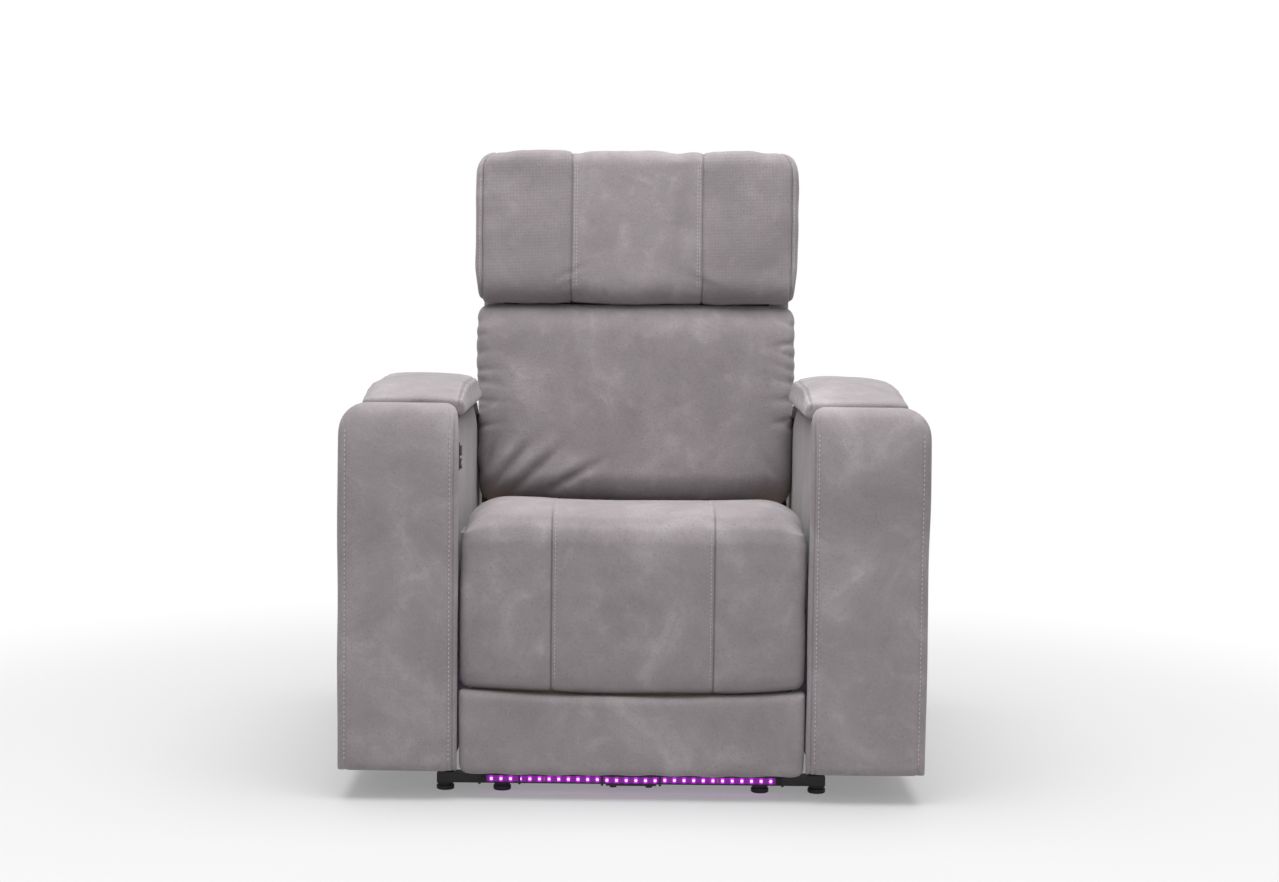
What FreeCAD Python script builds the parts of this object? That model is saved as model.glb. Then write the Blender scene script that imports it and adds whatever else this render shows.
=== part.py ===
import FreeCAD, Part
import math
import os
import Sketcher
from FreeCAD import Placement, Rotation, Vector

# Cinema recliner seat, millimetres. X runs across the seat, the front faces -Y, +Z is up, and
# the origin is on the floor under the middle of the whole seat.
# A depth is counted from the front plane of the arms, a half width from the middle plane.

DRIVING = [
    ("overall_width", 1000), ("overall_depth", 940),
    ("arm_width", 205), ("arm_recess", 9), ("arm_bottom", 55), ("arm_top", 648),
    ("arm_board", 15), ("arm_side_pad", 12), ("arm_inner_pad", 8),
    ("front_pad_depth", 60), ("front_pad_thickness", 35), ("front_pad_top", 674),
    ("front_pad_round", 22), ("front_shoulder_round", 46), ("inner_shoulder_round", 12),
    ("roll_round", 28), ("inner_panel_shoulder", 20), ("inner_panel_fall", 40), ("inner_panel_rear", 25),
    ("bin_front", 76), ("bin_rear", 490), ("bin_floor", 560), ("bin_wall", 3), ("bin_rim", 2),
    ("bin_gap", 1), ("bin_lip", 9), ("bin_hinge_room", 6),
    ("slope_start", 505), ("slope_break", 620), ("slope_break_top", 598), ("arm_rear_top", 555),
    ("roll_top", 658), ("cut_room", 30),
    ("lid_front", 62), ("lid_rear", 500), ("lid_overhang", 10), ("lid_axis_gap", 4),
    ("lid_edge_top", 678), ("lid_crown", 699), ("lid_clearance", 0.5),
    ("lid_board_thickness", 12), ("lid_board_inset", 15), ("lid_board_end", 8),
    ("lid_axis_inset", 34), ("lid_axis_height", 655),
    ("knuckle_radius", 3.5), ("knuckle_gap", 0.3), ("knuckle_room", 0.6), ("hinge_leaf", 1.5),
    ("lid_leaf_width", 22), ("lid_hinge_length", 400), ("lid_hinge_start", 19),
    ("knuckle_count", 3), ("hinge_pin_radius", 1.5), ("hinge_play", 0.05),
    ("tube_inset", 164), ("tube_depth", 30), ("tube_height", 16), ("tube_front", 90),
    ("tube_rear", 830), ("tube_wall", 2),
    ("foot_radius", 15), ("foot_height", 14), ("outer_foot_inset", 14),
    ("rail_inset", 18), ("rail_width", 25), ("rail_height", 25),
    ("arm_bracket_inset", 30), ("arm_bracket_width", 28),
    ("link_sheet", 4), ("link_gap", 2), ("plate_inset", 62), ("link_radius", 13), ("plate_rim", 21),
    ("plate_round", 12), ("pin_radius", 5), ("pin_play", 0.08), ("pin_proud", 1),
    ("carrier_sheet", 6), ("carrier_radius", 15), ("carrier_length", 150), ("carrier_lean", 35),
    ("front_carrier_depth", 260), ("rear_carrier_depth", 550), ("carrier_pivot_height", 120),
    ("torsion_radius", 11), ("bracket_foot", 90), ("bracket_round", 14), ("bracket_peak", 5),
    ("back_link_behind", 27), ("back_link_height", 132), ("back_link_play", 3.9),
    ("lever_out", 41), ("lever_drop", 17),
    ("hip_behind", 50), ("hip_drop", 108), ("back_lean", 6), ("hip_room", 15),
    ("nose_depth", 5), ("nose_drop", 68), ("main_reach_out", 95), ("main_knee_height", 95),
    ("second_reach_out", 95), ("second_reach_down", 110),
    ("main_pivot_depth", 230), ("main_pivot_drop", 163),
    ("second_pivot_depth", 285), ("second_pivot_drop", 208),
    ("crank_length", 60), ("crank_lean", 42.5), ("crank_sheet", 6), ("crank_pin_radius", 4),
    ("fork_play", 2), ("fork_sheet", 6), ("fork_height", 46), ("fork_end", 16), ("fork_rim", 6),
    ("recline_crank", 55), ("recline_crank_lean", 20),
    ("actuator_side", 44), ("rod_radius", 10), ("rod_play", 0.1), ("rod_hold", 40), ("case_end", 16),
    ("motor_radius", 23), ("motor_length", 78), ("motor_offset", 21), ("motor_start", 20),
    ("motor_rear", 100), ("gearbox_width", 34), ("gearbox_front", 12), ("gearbox_inset", 2),
    ("footrest_stroke", 81.07), ("recline_stroke", 37.62),
    ("footrest_drive_front", 330), ("footrest_drive_rear", 578),
    ("recline_drive_front", 125), ("recline_drive_gap", 110),
    ("bracket_width", 87), ("bolt_radius", 6), ("bolt_length", 6), ("bolt_out", 31),
    ("seat_gap", 4), ("seat_frame_inset", 3), ("seat_frame_front", 90),
    ("cushion_thickness", 59), ("seat_frame_height", 46),
    ("seat_frame_wall", 30), ("deck", 8), ("deck_front", 64), ("strap_width", 60),
    ("strap", 2), ("soft_gap", 0.3),
    ("seat_rear", 514), ("seat_crest", 508), ("seat_edge_drop", 14), ("seam_out", 138),
    ("seam_depth", 7), ("leg_pad_rear", 60), ("leg_pad_bottom", 192), ("board_rear", 75),
    ("board_bottom", 72), ("board_top_gap", 8), ("lower_panel_bottom", 50),
    ("lower_panel_front", 10), ("panel_corner", 26),
    ("back_overhang", 9), ("back_front", 85), ("back_bottom", 72), ("back_top", 427),
    ("frame_front", -5), ("frame_thickness", 30), ("stile_inset", 2), ("stile_width", 30),
    ("frame_bottom", 40), ("frame_top", 690), ("back_rail", 30), ("hip_plate_rise", 110),
    ("cover_thickness", 24), ("cover_bottom", 25), ("cover_inset", 2), ("cover_rise", 5),
    ("cover_corner", 30), ("cover_edge", 14),
    ("head_overhang", 5), ("head_front", 102), ("head_rear", 10), ("head_bottom", 430),
    ("head_top", 714), ("head_round", 46), ("head_seam_out", 122), ("head_seam_depth", 6),
    ("head_top_bend", 45), ("head_top_turn", 20), ("hinge_slot_rise", 104),
    ("ratchet_out", 150), ("ratchet_sheet", 3), ("ratchet_gap", 2), ("ratchet_pin", 4),
    ("ratchet_rim", 9), ("ratchet_foot", 20), ("ratchet_foot_height", 56), ("ratchet_rise", 14),
    ("head_board", 12), ("head_board_inset", 35), ("head_board_top", 28),
    ("led_group", 6), ("led_pitch", 16.667), ("led_width", 10), ("led_strip", 0.6),
    ("led_chip", 5), ("led_chip_height", 1.4), ("led_end", 2.2), ("led_end_length", 14),
    ("tie_width", 4), ("tie", 1.2), ("tie_play", 0.2), ("tie_lock", 5), ("tie_lock_height", 3),
    ("end_tie_in", 2.005), ("foot_tie_gap", 15.5), ("middle_tie_gap", 6.5),
    ("switch_depth", 75), ("switch_width", 30), ("switch_low", 555), ("switch_height", 49),
    ("switch_plate", 4), ("switch_border", 4), ("rocker_gap", 0.6), ("rocker_rise", 5),
    ("rocker_foot", 1.6), ("rocker_dip", 1.5),
]

doc = FreeCAD.newDocument("CinemaRecliner")
sheet = doc.addObject("Spreadsheet::Sheet", "sizes")
for row, (alias, value) in enumerate(DRIVING, 1):
    sheet.set(f"A{row}", alias)
    sheet.set(f"B{row}", str(value))
    sheet.setAlias(f"B{row}", alias)
doc.recompute()


class Size:
    """A length or angle that knows its formula in the sheet and its number now."""

    def __init__(self, text, number):
        self.text = text
        self.number = float(number)

    def join(self, sign, other, number):
        return Size(f"({self.text} {sign} {as_size(other).text})", number)

    def __add__(self, other):
        return self.join("+", other, self.number + float(other))

    def __sub__(self, other):
        return self.join("-", other, self.number - float(other))

    def __mul__(self, other):
        return self.join("*", other, self.number * float(other))

    def __truediv__(self, other):
        return self.join("/", other, self.number / float(other))

    def __radd__(self, other):
        return as_size(other) + self

    def __rsub__(self, other):
        return as_size(other) - self

    def __rmul__(self, other):
        return as_size(other) * self

    def __neg__(self):
        return Size(f"(-1 * {self.text})", -self.number)

    def __float__(self):
        return self.number


def as_size(value):
    if isinstance(value, Size):
        return value
    return Size(f"({value})", value)


def sine(angle):
    angle = as_size(angle)
    return Size(f"sin({angle.text} * 1 deg)", math.sin(math.radians(angle.number)))


def cosine(angle):
    angle = as_size(angle)
    return Size(f"cos({angle.text} * 1 deg)", math.cos(math.radians(angle.number)))


def whole(value):
    return Size(f"floor({value.text})", math.floor(value.number))


def lower(first, second):
    return Size(f"min({first.text}; {second.text})", min(first.number, second.number))


def span(first, second):
    """Length and heading in degrees from one (y, z) point to another."""
    out = second[0] - first[0]
    rise = second[1] - first[1]
    length = Size(f"sqrt({out.text} ^ 2 + {rise.text} ^ 2)", math.hypot(out.number, rise.number))
    heading = Size(f"(atan2({rise.text}; {out.text}) / 1 deg)",
                   math.degrees(math.atan2(rise.number, out.number)))
    return length, heading


class Sizes:
    pass


s = Sizes()
for alias, value in DRIVING:
    setattr(s, alias, Size(f"sizes.{alias}", getattr(sheet, alias)))


def at_depth(depth):
    return as_size(depth) - s.overall_depth / 2


# Building blocks

nodes = {}


def bind(thing, prop, value):
    value = as_size(value)
    thing.setExpression(prop, value.text)


def put(thing, x=0, y=0, z=0):
    for axis, value in (("x", x), ("y", y), ("z", z)):
        bind(thing, f"Placement.Base.{axis}", value)
    return thing


def keep(name, thing):
    thing.Label = name
    nodes[name] = thing
    return thing


def box(name, x, y, z, across, deep, high):
    thing = doc.addObject("Part::Box", name)
    bind(thing, "Length", across)
    bind(thing, "Width", deep)
    bind(thing, "Height", high)
    return put(thing, x, y, z)


def rod(name, axis, x, y, z, length, radius):
    """A round bar that starts at the point and runs along one axis."""
    thing = doc.addObject("Part::Cylinder", name)
    turns = {"x": Rotation(Vector(0, 1, 0), 90), "y": Rotation(Vector(1, 0, 0), -90), "z": Rotation()}
    thing.Placement = Placement(Vector(), turns[axis])
    bind(thing, "Radius", radius)
    bind(thing, "Height", length)
    return put(thing, x, y, z)


def fuse(name, pieces):
    thing = doc.addObject("Part::MultiFuse", name)
    thing.Shapes = pieces
    return thing


def group(name, pieces):
    thing = doc.addObject("Part::Compound", name)
    thing.Links = pieces
    return thing


def cut(name, base, tool):
    thing = doc.addObject("Part::Cut", name)
    thing.Base = base
    thing.Tool = tool
    return thing


def side_low(side, inner, outer):
    """Lowest X of a piece that lies between two half widths on one side."""
    return as_size(inner) if side > 0 else -as_size(outer)


def side_box(name, side, inner, outer, y, z, deep, high):
    return box(name, side_low(side, inner, outer), y, z, outer - inner, deep, high)


def side_rod(name, side, inner, outer, y, z, radius):
    return rod(name, "x", side_low(side, inner, outer), y, z, outer - inner, radius)


def origin_plane(body, role):
    return next(part for part in body.Origin.OriginFeatures if part.Role == role)


def fix_point(sketch, geometry, end, point):
    for kind, value in (("DistanceX", point[0]), ("DistanceY", point[1])):
        value = as_size(value)
        index = sketch.addConstraint(Sketcher.Constraint(kind, -1, 1, geometry, end, value.number))
        sketch.setExpression(f"Constraints[{index}]", value.text)


def draw(body, name, role, corners, holes=(), offset=None):
    """Sketch with one closed outline through the corners and round holes (y, z, radius)."""
    sketch = body.newObject("Sketcher::SketchObject", name)
    sketch.AttachmentSupport = [(origin_plane(body, role), "")]
    sketch.MapMode = "FlatFace"
    if offset is not None:
        bind(sketch, "AttachmentOffset.Base.z", offset)
    flat = [Vector(float(p[0]), float(p[1]), 0) for p in corners]
    count = len(flat)
    for i in range(count):
        sketch.addGeometry(Part.LineSegment(flat[i], flat[(i + 1) % count]))
    for i in range(count):
        sketch.addConstraint(Sketcher.Constraint("Coincident", i, 2, (i + 1) % count, 1))
    for i in range(count):
        fix_point(sketch, i, 1, corners[i])
    for y, z, radius in holes:
        radius = as_size(radius)
        ring = Part.Circle(Vector(float(y), float(z), 0), Vector(0, 0, 1), radius.number)
        index = sketch.addGeometry(ring)
        fix_point(sketch, index, 3, (y, z))
        size_at = sketch.addConstraint(Sketcher.Constraint("Radius", index, radius.number))
        sketch.setExpression(f"Constraints[{size_at}]", radius.text)
    return sketch


def pad(body, name, sketch, length, back=False):
    feature = body.newObject("PartDesign::Pad", name)
    feature.Profile = sketch
    feature.Reversed = back
    bind(feature, "Length", length)
    return feature


def pocket(body, name, sketch, length, back=False):
    feature = body.newObject("PartDesign::Pocket", name)
    feature.Profile = sketch
    feature.Reversed = back
    bind(feature, "Length", length)
    return feature


def round_edges(body, name, radius, spots):
    """Fillet on the edges of the tip whose midpoints lie nearest to the spots."""
    doc.recompute()
    base = body.Tip
    middles = [(edge.CenterOfMass, f"Edge{i}") for i, edge in enumerate(base.Shape.Edges, 1)]
    picked = []
    for spot in spots:
        here = Vector(*[float(value) for value in spot])
        picked.append(min(middles, key=lambda pair: (pair[0] - here).Length)[1])
    feature = body.newObject("PartDesign::Fillet", name)
    feature.Base = (base, sorted(set(picked)))
    bind(feature, "Radius", radius)
    return feature


def sheet_plate(name, x, corners, thickness, holes=(), rounds=()):
    """Flat plate in the YZ plane; rounds holds (corner number, radius)."""
    body = doc.addObject("PartDesign::Body", name)
    sketch = draw(body, f"{name}_outline", "YZ_Plane", corners, holes)
    pad(body, f"{name}_sheet", sketch, thickness)
    for radius in sorted({float(as_size(r)) for _, r in rounds}):
        same = [(i, r) for i, r in rounds if float(as_size(r)) == radius]
        spots = [(as_size(thickness) / 2, corners[i][0], corners[i][1]) for i, _ in same]
        round_edges(body, f"{name}_round", same[0][1], spots)
    bind(body, "Placement.Base.x", x)
    return body


def strap(name, x, first, second, radius, thickness, first_hole, second_hole):
    """Link with round ends between two (y, z) points, with a hole at each."""
    length, heading = span(first, second)
    body = doc.addObject("PartDesign::Body", name)
    sketch = body.newObject("Sketcher::SketchObject", f"{name}_outline")
    sketch.AttachmentSupport = [(origin_plane(body, "YZ_Plane"), "")]
    sketch.MapMode = "FlatFace"
    radius = as_size(radius)
    reach = length.number
    wide = radius.number
    up = Vector(0, 0, 1)
    left = Part.Circle(Vector(0, 0, 0), up, wide)
    right = Part.Circle(Vector(reach, 0, 0), up, wide)
    sketch.addGeometry(Part.ArcOfCircle(left, math.pi / 2, 3 * math.pi / 2))
    sketch.addGeometry(Part.LineSegment(Vector(0, -wide, 0), Vector(reach, -wide, 0)))
    sketch.addGeometry(Part.ArcOfCircle(right, -math.pi / 2, math.pi / 2))
    sketch.addGeometry(Part.LineSegment(Vector(reach, wide, 0), Vector(0, wide, 0)))
    for first_end, second_end in (((0, 2), (1, 1)), ((1, 2), (2, 1)), ((2, 2), (3, 1)), ((3, 2), (0, 1))):
        sketch.addConstraint(Sketcher.Constraint("Tangent", *first_end, *second_end))
    sketch.addConstraint(Sketcher.Constraint("Coincident", 0, 3, -1, 1))
    sketch.addConstraint(Sketcher.Constraint("Horizontal", 1))
    index = sketch.addConstraint(Sketcher.Constraint("DistanceX", 0, 3, 2, 3, reach))
    sketch.setExpression(f"Constraints[{index}]", length.text)
    index = sketch.addConstraint(Sketcher.Constraint("Radius", 0, wide))
    sketch.setExpression(f"Constraints[{index}]", radius.text)
    for along, hole in ((0, first_hole), (length, second_hole)):
        if hole is None:
            continue
        hole = as_size(hole)
        ring = Part.Circle(Vector(float(along), 0, 0), up, hole.number)
        index = sketch.addGeometry(ring)
        fix_point(sketch, index, 3, (along, 0))
        size_at = sketch.addConstraint(Sketcher.Constraint("Radius", index, hole.number))
        sketch.setExpression(f"Constraints[{size_at}]", hole.text)
    pad(body, f"{name}_sheet", sketch, thickness)
    body.Placement = Placement(Vector(), Rotation(Vector(1, 0, 0), heading.number))
    bind(body, "Placement.Rotation.Angle", heading)
    return put(body, x, first[0], first[1])


# Soft forms: sections of lines and arcs, joined by ruled lofts

def crowned_section(half, base, edge, crown, seam=None, dip=0, inset=0):
    """Closed section as (across, height) edges: flat base, drawn-in sides, crowned lobes."""
    corner = (half, edge)
    foot = (half - inset, base)
    edges = [((-foot[0], base), None, foot)]
    side_middle = (half - inset / 2 - 1.0, (base + edge) / 2)
    edges.append((foot, side_middle, corner))
    if seam is None:
        edges.append((corner, (0, crown), (-half, edge)))
    else:
        level = crown - dip
        shoulder = ((half + seam) / 2, max(crown - 1.5, (edge + level) / 2 + dip / 2))
        edges.append((corner, shoulder, (seam, level)))
        edges.append(((seam, level), (0, crown), (-seam, level)))
        edges.append(((-seam, level), (-shoulder[0], shoulder[1]), (-half, edge)))
    edges.append(((-half, edge), (-side_middle[0], side_middle[1]), (-foot[0], base)))
    return edges


def section_wire(edges, to_space):
    made = []
    for start, middle, end in edges:
        if middle is None:
            made.append(Part.LineSegment(to_space(*start), to_space(*end)).toShape())
        else:
            arc = Part.Arc(to_space(*start), to_space(*middle), to_space(*end))
            made.append(arc.toShape())
    return Part.Wire(made)


def soft_loft(sections):
    """Ruled solid through (edges, to_space) sections."""
    wires = [section_wire(edges, to_space) for edges, to_space in sections]
    return Part.makeLoft(wires, True, True)


def soft_node(name, shape):
    thing = doc.addObject("Part::Feature", name)
    thing.Shape = shape
    return keep(name, thing)


def across_height(y):
    return lambda across, height: Vector(across, y, height)


def across_front(z):
    """Sections in a level plane, where the height points to the front."""
    return lambda across, height: Vector(across, -height, z)


# Places that several pieces share, as (y, z)

deck_top = s.seat_crest - s.cushion_thickness
seat_frame_top = deck_top - s.deck
seat_frame_bottom = seat_frame_top - s.seat_frame_height
nose = (at_depth(s.nose_depth), s.seat_crest - s.nose_drop)
main_pivot = (at_depth(s.main_pivot_depth), s.seat_crest - s.main_pivot_drop)
second_pivot = (at_depth(s.second_pivot_depth), s.seat_crest - s.second_pivot_drop)
main_reach_down = main_pivot[1] - s.main_knee_height
main_knee = (main_pivot[0] + s.main_reach_out, s.main_knee_height)
second_knee = (second_pivot[0] + s.second_reach_out, second_pivot[1] - s.second_reach_down)
main_eye = (nose[0] + s.main_reach_out, nose[1] - main_reach_down)
second_eye = (nose[0] + s.second_reach_out, nose[1] - s.second_reach_down)
carrier_rise = s.carrier_length * cosine(s.carrier_lean)
carrier_run = s.carrier_length * sine(s.carrier_lean)
front_foot_pivot = (at_depth(s.front_carrier_depth), s.carrier_pivot_height)
rear_foot_pivot = (at_depth(s.rear_carrier_depth), s.carrier_pivot_height)
front_seat_pivot = (front_foot_pivot[0] + carrier_run, front_foot_pivot[1] + carrier_rise)
rear_seat_pivot = (rear_foot_pivot[0] + carrier_run, rear_foot_pivot[1] + carrier_rise)
back_link_foot = (rear_foot_pivot[0] + s.back_link_behind, s.back_link_height)
hip = (rear_foot_pivot[0] + s.hip_behind, s.seat_crest - s.hip_drop)
lever = (hip[0] + s.lever_out, hip[1] - s.lever_drop)

half_width = s.overall_width / 2
arm_inner = half_width - s.arm_width + s.arm_recess
pad_inner = half_width - s.arm_width
frame_inner = arm_inner + s.arm_inner_pad
frame_outer = half_width - s.arm_side_pad
lid_axis_out = half_width - s.lid_axis_inset
lid_outer = lid_axis_out - s.lid_axis_gap
lid_inner = pad_inner - s.lid_overhang
seat_half = pad_inner - s.seat_gap
seat_frame_half = seat_half - s.seat_frame_inset
seat_frame_rear = s.rear_carrier_depth + s.hip_behind - s.hip_room
back_half = seat_half + s.back_overhang
head_half = back_half + s.head_overhang
plate_inner = seat_half - s.plate_inset
stile_inner = plate_inner - s.stile_inset
tube_half = half_width - s.tube_inset
rail_inner = plate_inner - s.rail_inset
outer_foot = tube_half - s.outer_foot_inset
inner_foot = rail_inner + s.rail_width / 2
arm_bracket_inner = tube_half - s.arm_bracket_inset

# The light strip is cut between diode groups to the room between the arm brackets
led_count = s.led_group * whole((arm_bracket_inner - s.led_end_length) * 2 / (s.led_group * s.led_pitch))
strip_half = led_count * s.led_pitch / 2

# Layers of flat parts, counted outwards from the seat plate
layer_step = s.link_sheet + s.link_gap
link_layer = plate_inner + layer_step
coupler_layer = link_layer + layer_step
bracket_layer = coupler_layer + layer_step
carrier_layer = plate_inner - s.link_gap - s.carrier_sheet
base_layer = carrier_layer - s.link_gap - s.link_sheet
back_link_layer = base_layer - s.link_gap - s.link_sheet

tube_top = s.foot_height + s.tube_height
rail_top = tube_top + s.rail_height
bore = s.pin_radius + s.pin_play


def both(name, make, joined=group):
    """One node of two like pieces, left and right."""
    return keep(name, joined(name, [make(side) for side in (-1, 1)]))


def side_name(side):
    return "left" if side < 0 else "right"


# Base: cross tubes, rails, feet and brackets

def hollow_bar(name, x, y, z, across, deep, high, wall, along):
    outer = box(f"{name}_outside", x, y, z, across, deep, high)
    if along == "x":
        inner = box(f"{name}_hollow", x - 1, y + wall, z + wall, across + 2, deep - 2 * wall,
                    high - 2 * wall)
    else:
        inner = box(f"{name}_hollow", x + wall, y - 1, z + wall, across - 2 * wall, deep + 2,
                    high - 2 * wall)
    return cut(name, outer, inner)


def make_base():
    tubes = []
    for name, depth in (("front", s.tube_front), ("rear", s.tube_rear)):
        tubes.append(hollow_bar(f"{name}_tube", -tube_half, at_depth(depth), s.foot_height,
                                2 * tube_half, s.tube_depth, s.tube_height, s.tube_wall, "x"))
    keep("base_cross_tubes", group("base_cross_tubes", tubes))
    rail_length = s.tube_rear + s.tube_depth - s.tube_front
    both("base_rails", lambda side: hollow_bar(
        f"rail_{side_name(side)}", side_low(side, rail_inner, rail_inner + s.rail_width),
        at_depth(s.tube_front), tube_top, s.rail_width, rail_length, s.rail_height, s.tube_wall, "y"))
    feet = []
    for depth in (s.tube_front, s.tube_rear):
        for out in (-outer_foot, -inner_foot, inner_foot, outer_foot):
            feet.append(rod(f"foot_{len(feet)}", "z", out, at_depth(depth) + s.tube_depth / 2, 0,
                            s.foot_height, s.foot_radius))
    keep("feet", group("feet", feet))
    spacers = []
    for side in (-1, 1):
        for depth in (s.tube_front, s.tube_rear):
            low = side_low(side, arm_bracket_inner, arm_bracket_inner + s.arm_bracket_width)
            spacers.append(hollow_bar(f"spacer_{len(spacers)}", low, at_depth(depth), tube_top,
                                      s.arm_bracket_width, s.tube_depth, s.arm_bottom - tube_top,
                                      s.tube_wall, "y"))
    keep("arm_brackets", group("arm_brackets", spacers))


def make_carrier_brackets():
    plates = []
    for side in (-1, 1):
        low = side_low(side, base_layer, base_layer + s.link_sheet)
        for end, pivot in (("front", front_foot_pivot), ("rear", rear_foot_pivot)):
            half_foot = s.bracket_foot / 2
            top = pivot[1] + s.carrier_radius + s.bracket_peak
            corners = [(pivot[0] - half_foot, rail_top), (pivot[0] + half_foot, rail_top),
                       (pivot[0] + s.carrier_radius + s.bracket_peak, top), (pivot[0] - s.carrier_radius, top)]
            holes = [(pivot[0], pivot[1], s.torsion_radius + s.pin_play)]
            rounds = [(2, s.bracket_round), (3, s.bracket_round)]
            if end == "rear":
                peak = back_link_foot[1] + s.carrier_radius
                corners[2] = (back_link_foot[0] + s.carrier_radius, peak)
                corners[3] = (pivot[0] - s.carrier_radius, peak)
            plates.append(sheet_plate(f"bracket_{end}_{side_name(side)}", low, corners,
                                      s.link_sheet, holes, rounds))
    pins = []
    for side in (-1, 1):
        pins.append(side_rod(f"back_link_pin_{side_name(side)}", side,
                             back_link_layer - s.pin_proud, base_layer, *back_link_foot, s.pin_radius))
    keep("carrier_brackets", fuse("carrier_brackets", plates + pins))


# Carrier links: the seat rides on four of them, each pair tied by a torsion tube

def make_carrier(end, foot_pivot, seat_pivot, crank):
    pieces = []
    for side in (-1, 1):
        low = side_low(side, carrier_layer, carrier_layer + s.carrier_sheet)
        pieces.append(strap(f"carrier_{end}_{side_name(side)}", low, foot_pivot, seat_pivot,
                            s.carrier_radius, s.carrier_sheet, None, None))
        pieces.append(side_rod(f"carrier_{end}_pin_{side_name(side)}", side, carrier_layer,
                               plate_inner + s.link_sheet + s.pin_proud, *seat_pivot, s.pin_radius))
    outer = carrier_layer + s.carrier_sheet
    pieces.append(rod(f"carrier_{end}_tube", "x", -outer, *foot_pivot, 2 * outer, s.torsion_radius))
    if crank:
        pieces += crank_pair(f"carrier_{end}", foot_pivot, s.recline_crank, -s.recline_crank_lean)
    keep(f"carrier_{end}", fuse(f"carrier_{end}", pieces))


def crank_pair(name, pivot, length, lean):
    """Two crank plates that hang from a tube, with a pin between them for the slider's fork."""
    tip = (pivot[0] + length * sine(lean), pivot[1] - length * cosine(lean))
    inner = s.fork_sheet / 2 + s.fork_play
    pieces = []
    for side in (-1, 1):
        low = side_low(side, inner, inner + s.crank_sheet)
        pieces.append(strap(f"{name}_crank_{side_name(side)}", low, pivot, tip,
                            s.torsion_radius + 1, s.crank_sheet, None, None))
    outer = inner + s.crank_sheet
    pieces.append(rod(f"{name}_crank_pin", "x", -outer, tip[0], tip[1], 2 * outer, s.crank_pin_radius))
    return pieces


# Seat: side plates, tubes, box, straps and cushion

def make_seat_plates():
    for side in (-1, 1):
        name = f"seat_plate_{side_name(side)}"
        low = side_low(side, plate_inner, plate_inner + s.link_sheet)
        top = seat_frame_bottom
        rim = s.plate_rim
        corners = [
            (main_pivot[0] - rim, top), (main_pivot[0] - rim, main_pivot[1] - rim),
            (second_pivot[0] - rim, second_pivot[1] - rim),
            (front_seat_pivot[0] - rim, front_seat_pivot[1] - rim),
            (front_seat_pivot[0] + rim, front_seat_pivot[1] - rim),
            (front_seat_pivot[0] + 4 * rim, front_seat_pivot[1] + 2 * rim),
            (rear_seat_pivot[0] - 4 * rim, lower(rear_seat_pivot[1] + 2 * rim, drive_height)),
            (rear_seat_pivot[0] - rim, rear_seat_pivot[1] - rim),
            (rear_seat_pivot[0] + rim, rear_seat_pivot[1] - rim),
            (rear_seat_pivot[0] + rim, rear_seat_pivot[1] + rim),
            (hip[0] + s.pin_proud, rear_seat_pivot[1] + 4 * rim), (hip[0] + s.pin_proud, hip[1] - rim),
            (hip[0] + rim, hip[1] - rim / 2), (hip[0] + rim, hip[1] + rim), (hip[0] - rim / 2, hip[1] + rim),
            (hip[0] - 2 * rim / 3, top),
        ]
        tube_hole = s.torsion_radius + s.pin_play
        holes = [(*main_pivot, tube_hole), (*front_seat_pivot, bore), (*rear_seat_pivot, bore)]
        rounds = [(corner, s.plate_round) for corner in (1, 3, 4, 7, 8, 9, 13)]
        plate = sheet_plate(f"{name}_web", low, corners, s.link_sheet, holes, rounds)
        flange = side_box(f"{name}_flange", side, plate_inner, seat_frame_half,
                          main_pivot[0] - rim, top - s.link_sheet,
                          at_depth(seat_frame_rear) - main_pivot[0] + rim, s.link_sheet)
        pin = side_rod(f"{name}_second_pin", side, plate_inner, link_layer + s.link_sheet + s.pin_proud,
                       *second_pivot, s.pin_radius)
        hip_pin = side_rod(f"{name}_hip_pin", side, carrier_layer, plate_inner, *hip, s.pin_radius)
        keep(name, fuse(name, [plate, flange, pin, hip_pin]))
    inner = plate_inner
    rim = s.plate_rim
    tubes = []
    for end, spot in (("front", (front_seat_pivot[0] + 3 * rim, main_pivot[1])),
                      ("rear", (at_depth(s.footrest_drive_rear), drive_height))):
        tubes.append(rod(f"seat_tube_{end}", "x", -inner, spot[0], spot[1], 2 * inner, s.torsion_radius))
    keep("seat_cross_tubes", group("seat_cross_tubes", tubes))


def make_seat_box():
    half = seat_frame_half
    wall = s.seat_frame_wall
    front = at_depth(s.seat_frame_front)
    deep = seat_frame_rear - s.seat_frame_front
    high = s.seat_frame_height
    ring = box("seat_box_ring", -half, front, seat_frame_bottom, 2 * half, deep, high)
    deck = box("seat_box_deck", -half, at_depth(s.deck_front), seat_frame_top, 2 * half,
               s.seat_rear - s.deck_front, s.deck)
    opening = box("seat_box_opening", wall - half, front + wall, seat_frame_bottom - 1,
                  2 * (half - wall), deep - 2 * wall, high + s.deck + 2)
    keep("seat_box", cut("seat_box", fuse("seat_box_solid", [ring, deck]), opening))
    level = seat_frame_bottom + high / 2
    straps = []
    for i in range(5):
        middle = (half - wall) * (i - 2) * 0.4
        straps.append(box(f"long_strap_{i}", middle - s.strap_width / 2, front + wall, level,
                          s.strap_width, deep - 2 * wall, s.strap))
    for i in range(4):
        middle = front + wall + (deep - 2 * wall) * (i + 0.5) / 4
        straps.append(box(f"cross_strap_{i}", wall - half, middle - s.strap_width / 2,
                          level + s.strap, 2 * (half - wall), s.strap_width, s.strap))
    keep("seat_webbing", fuse("seat_webbing", straps))


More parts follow.
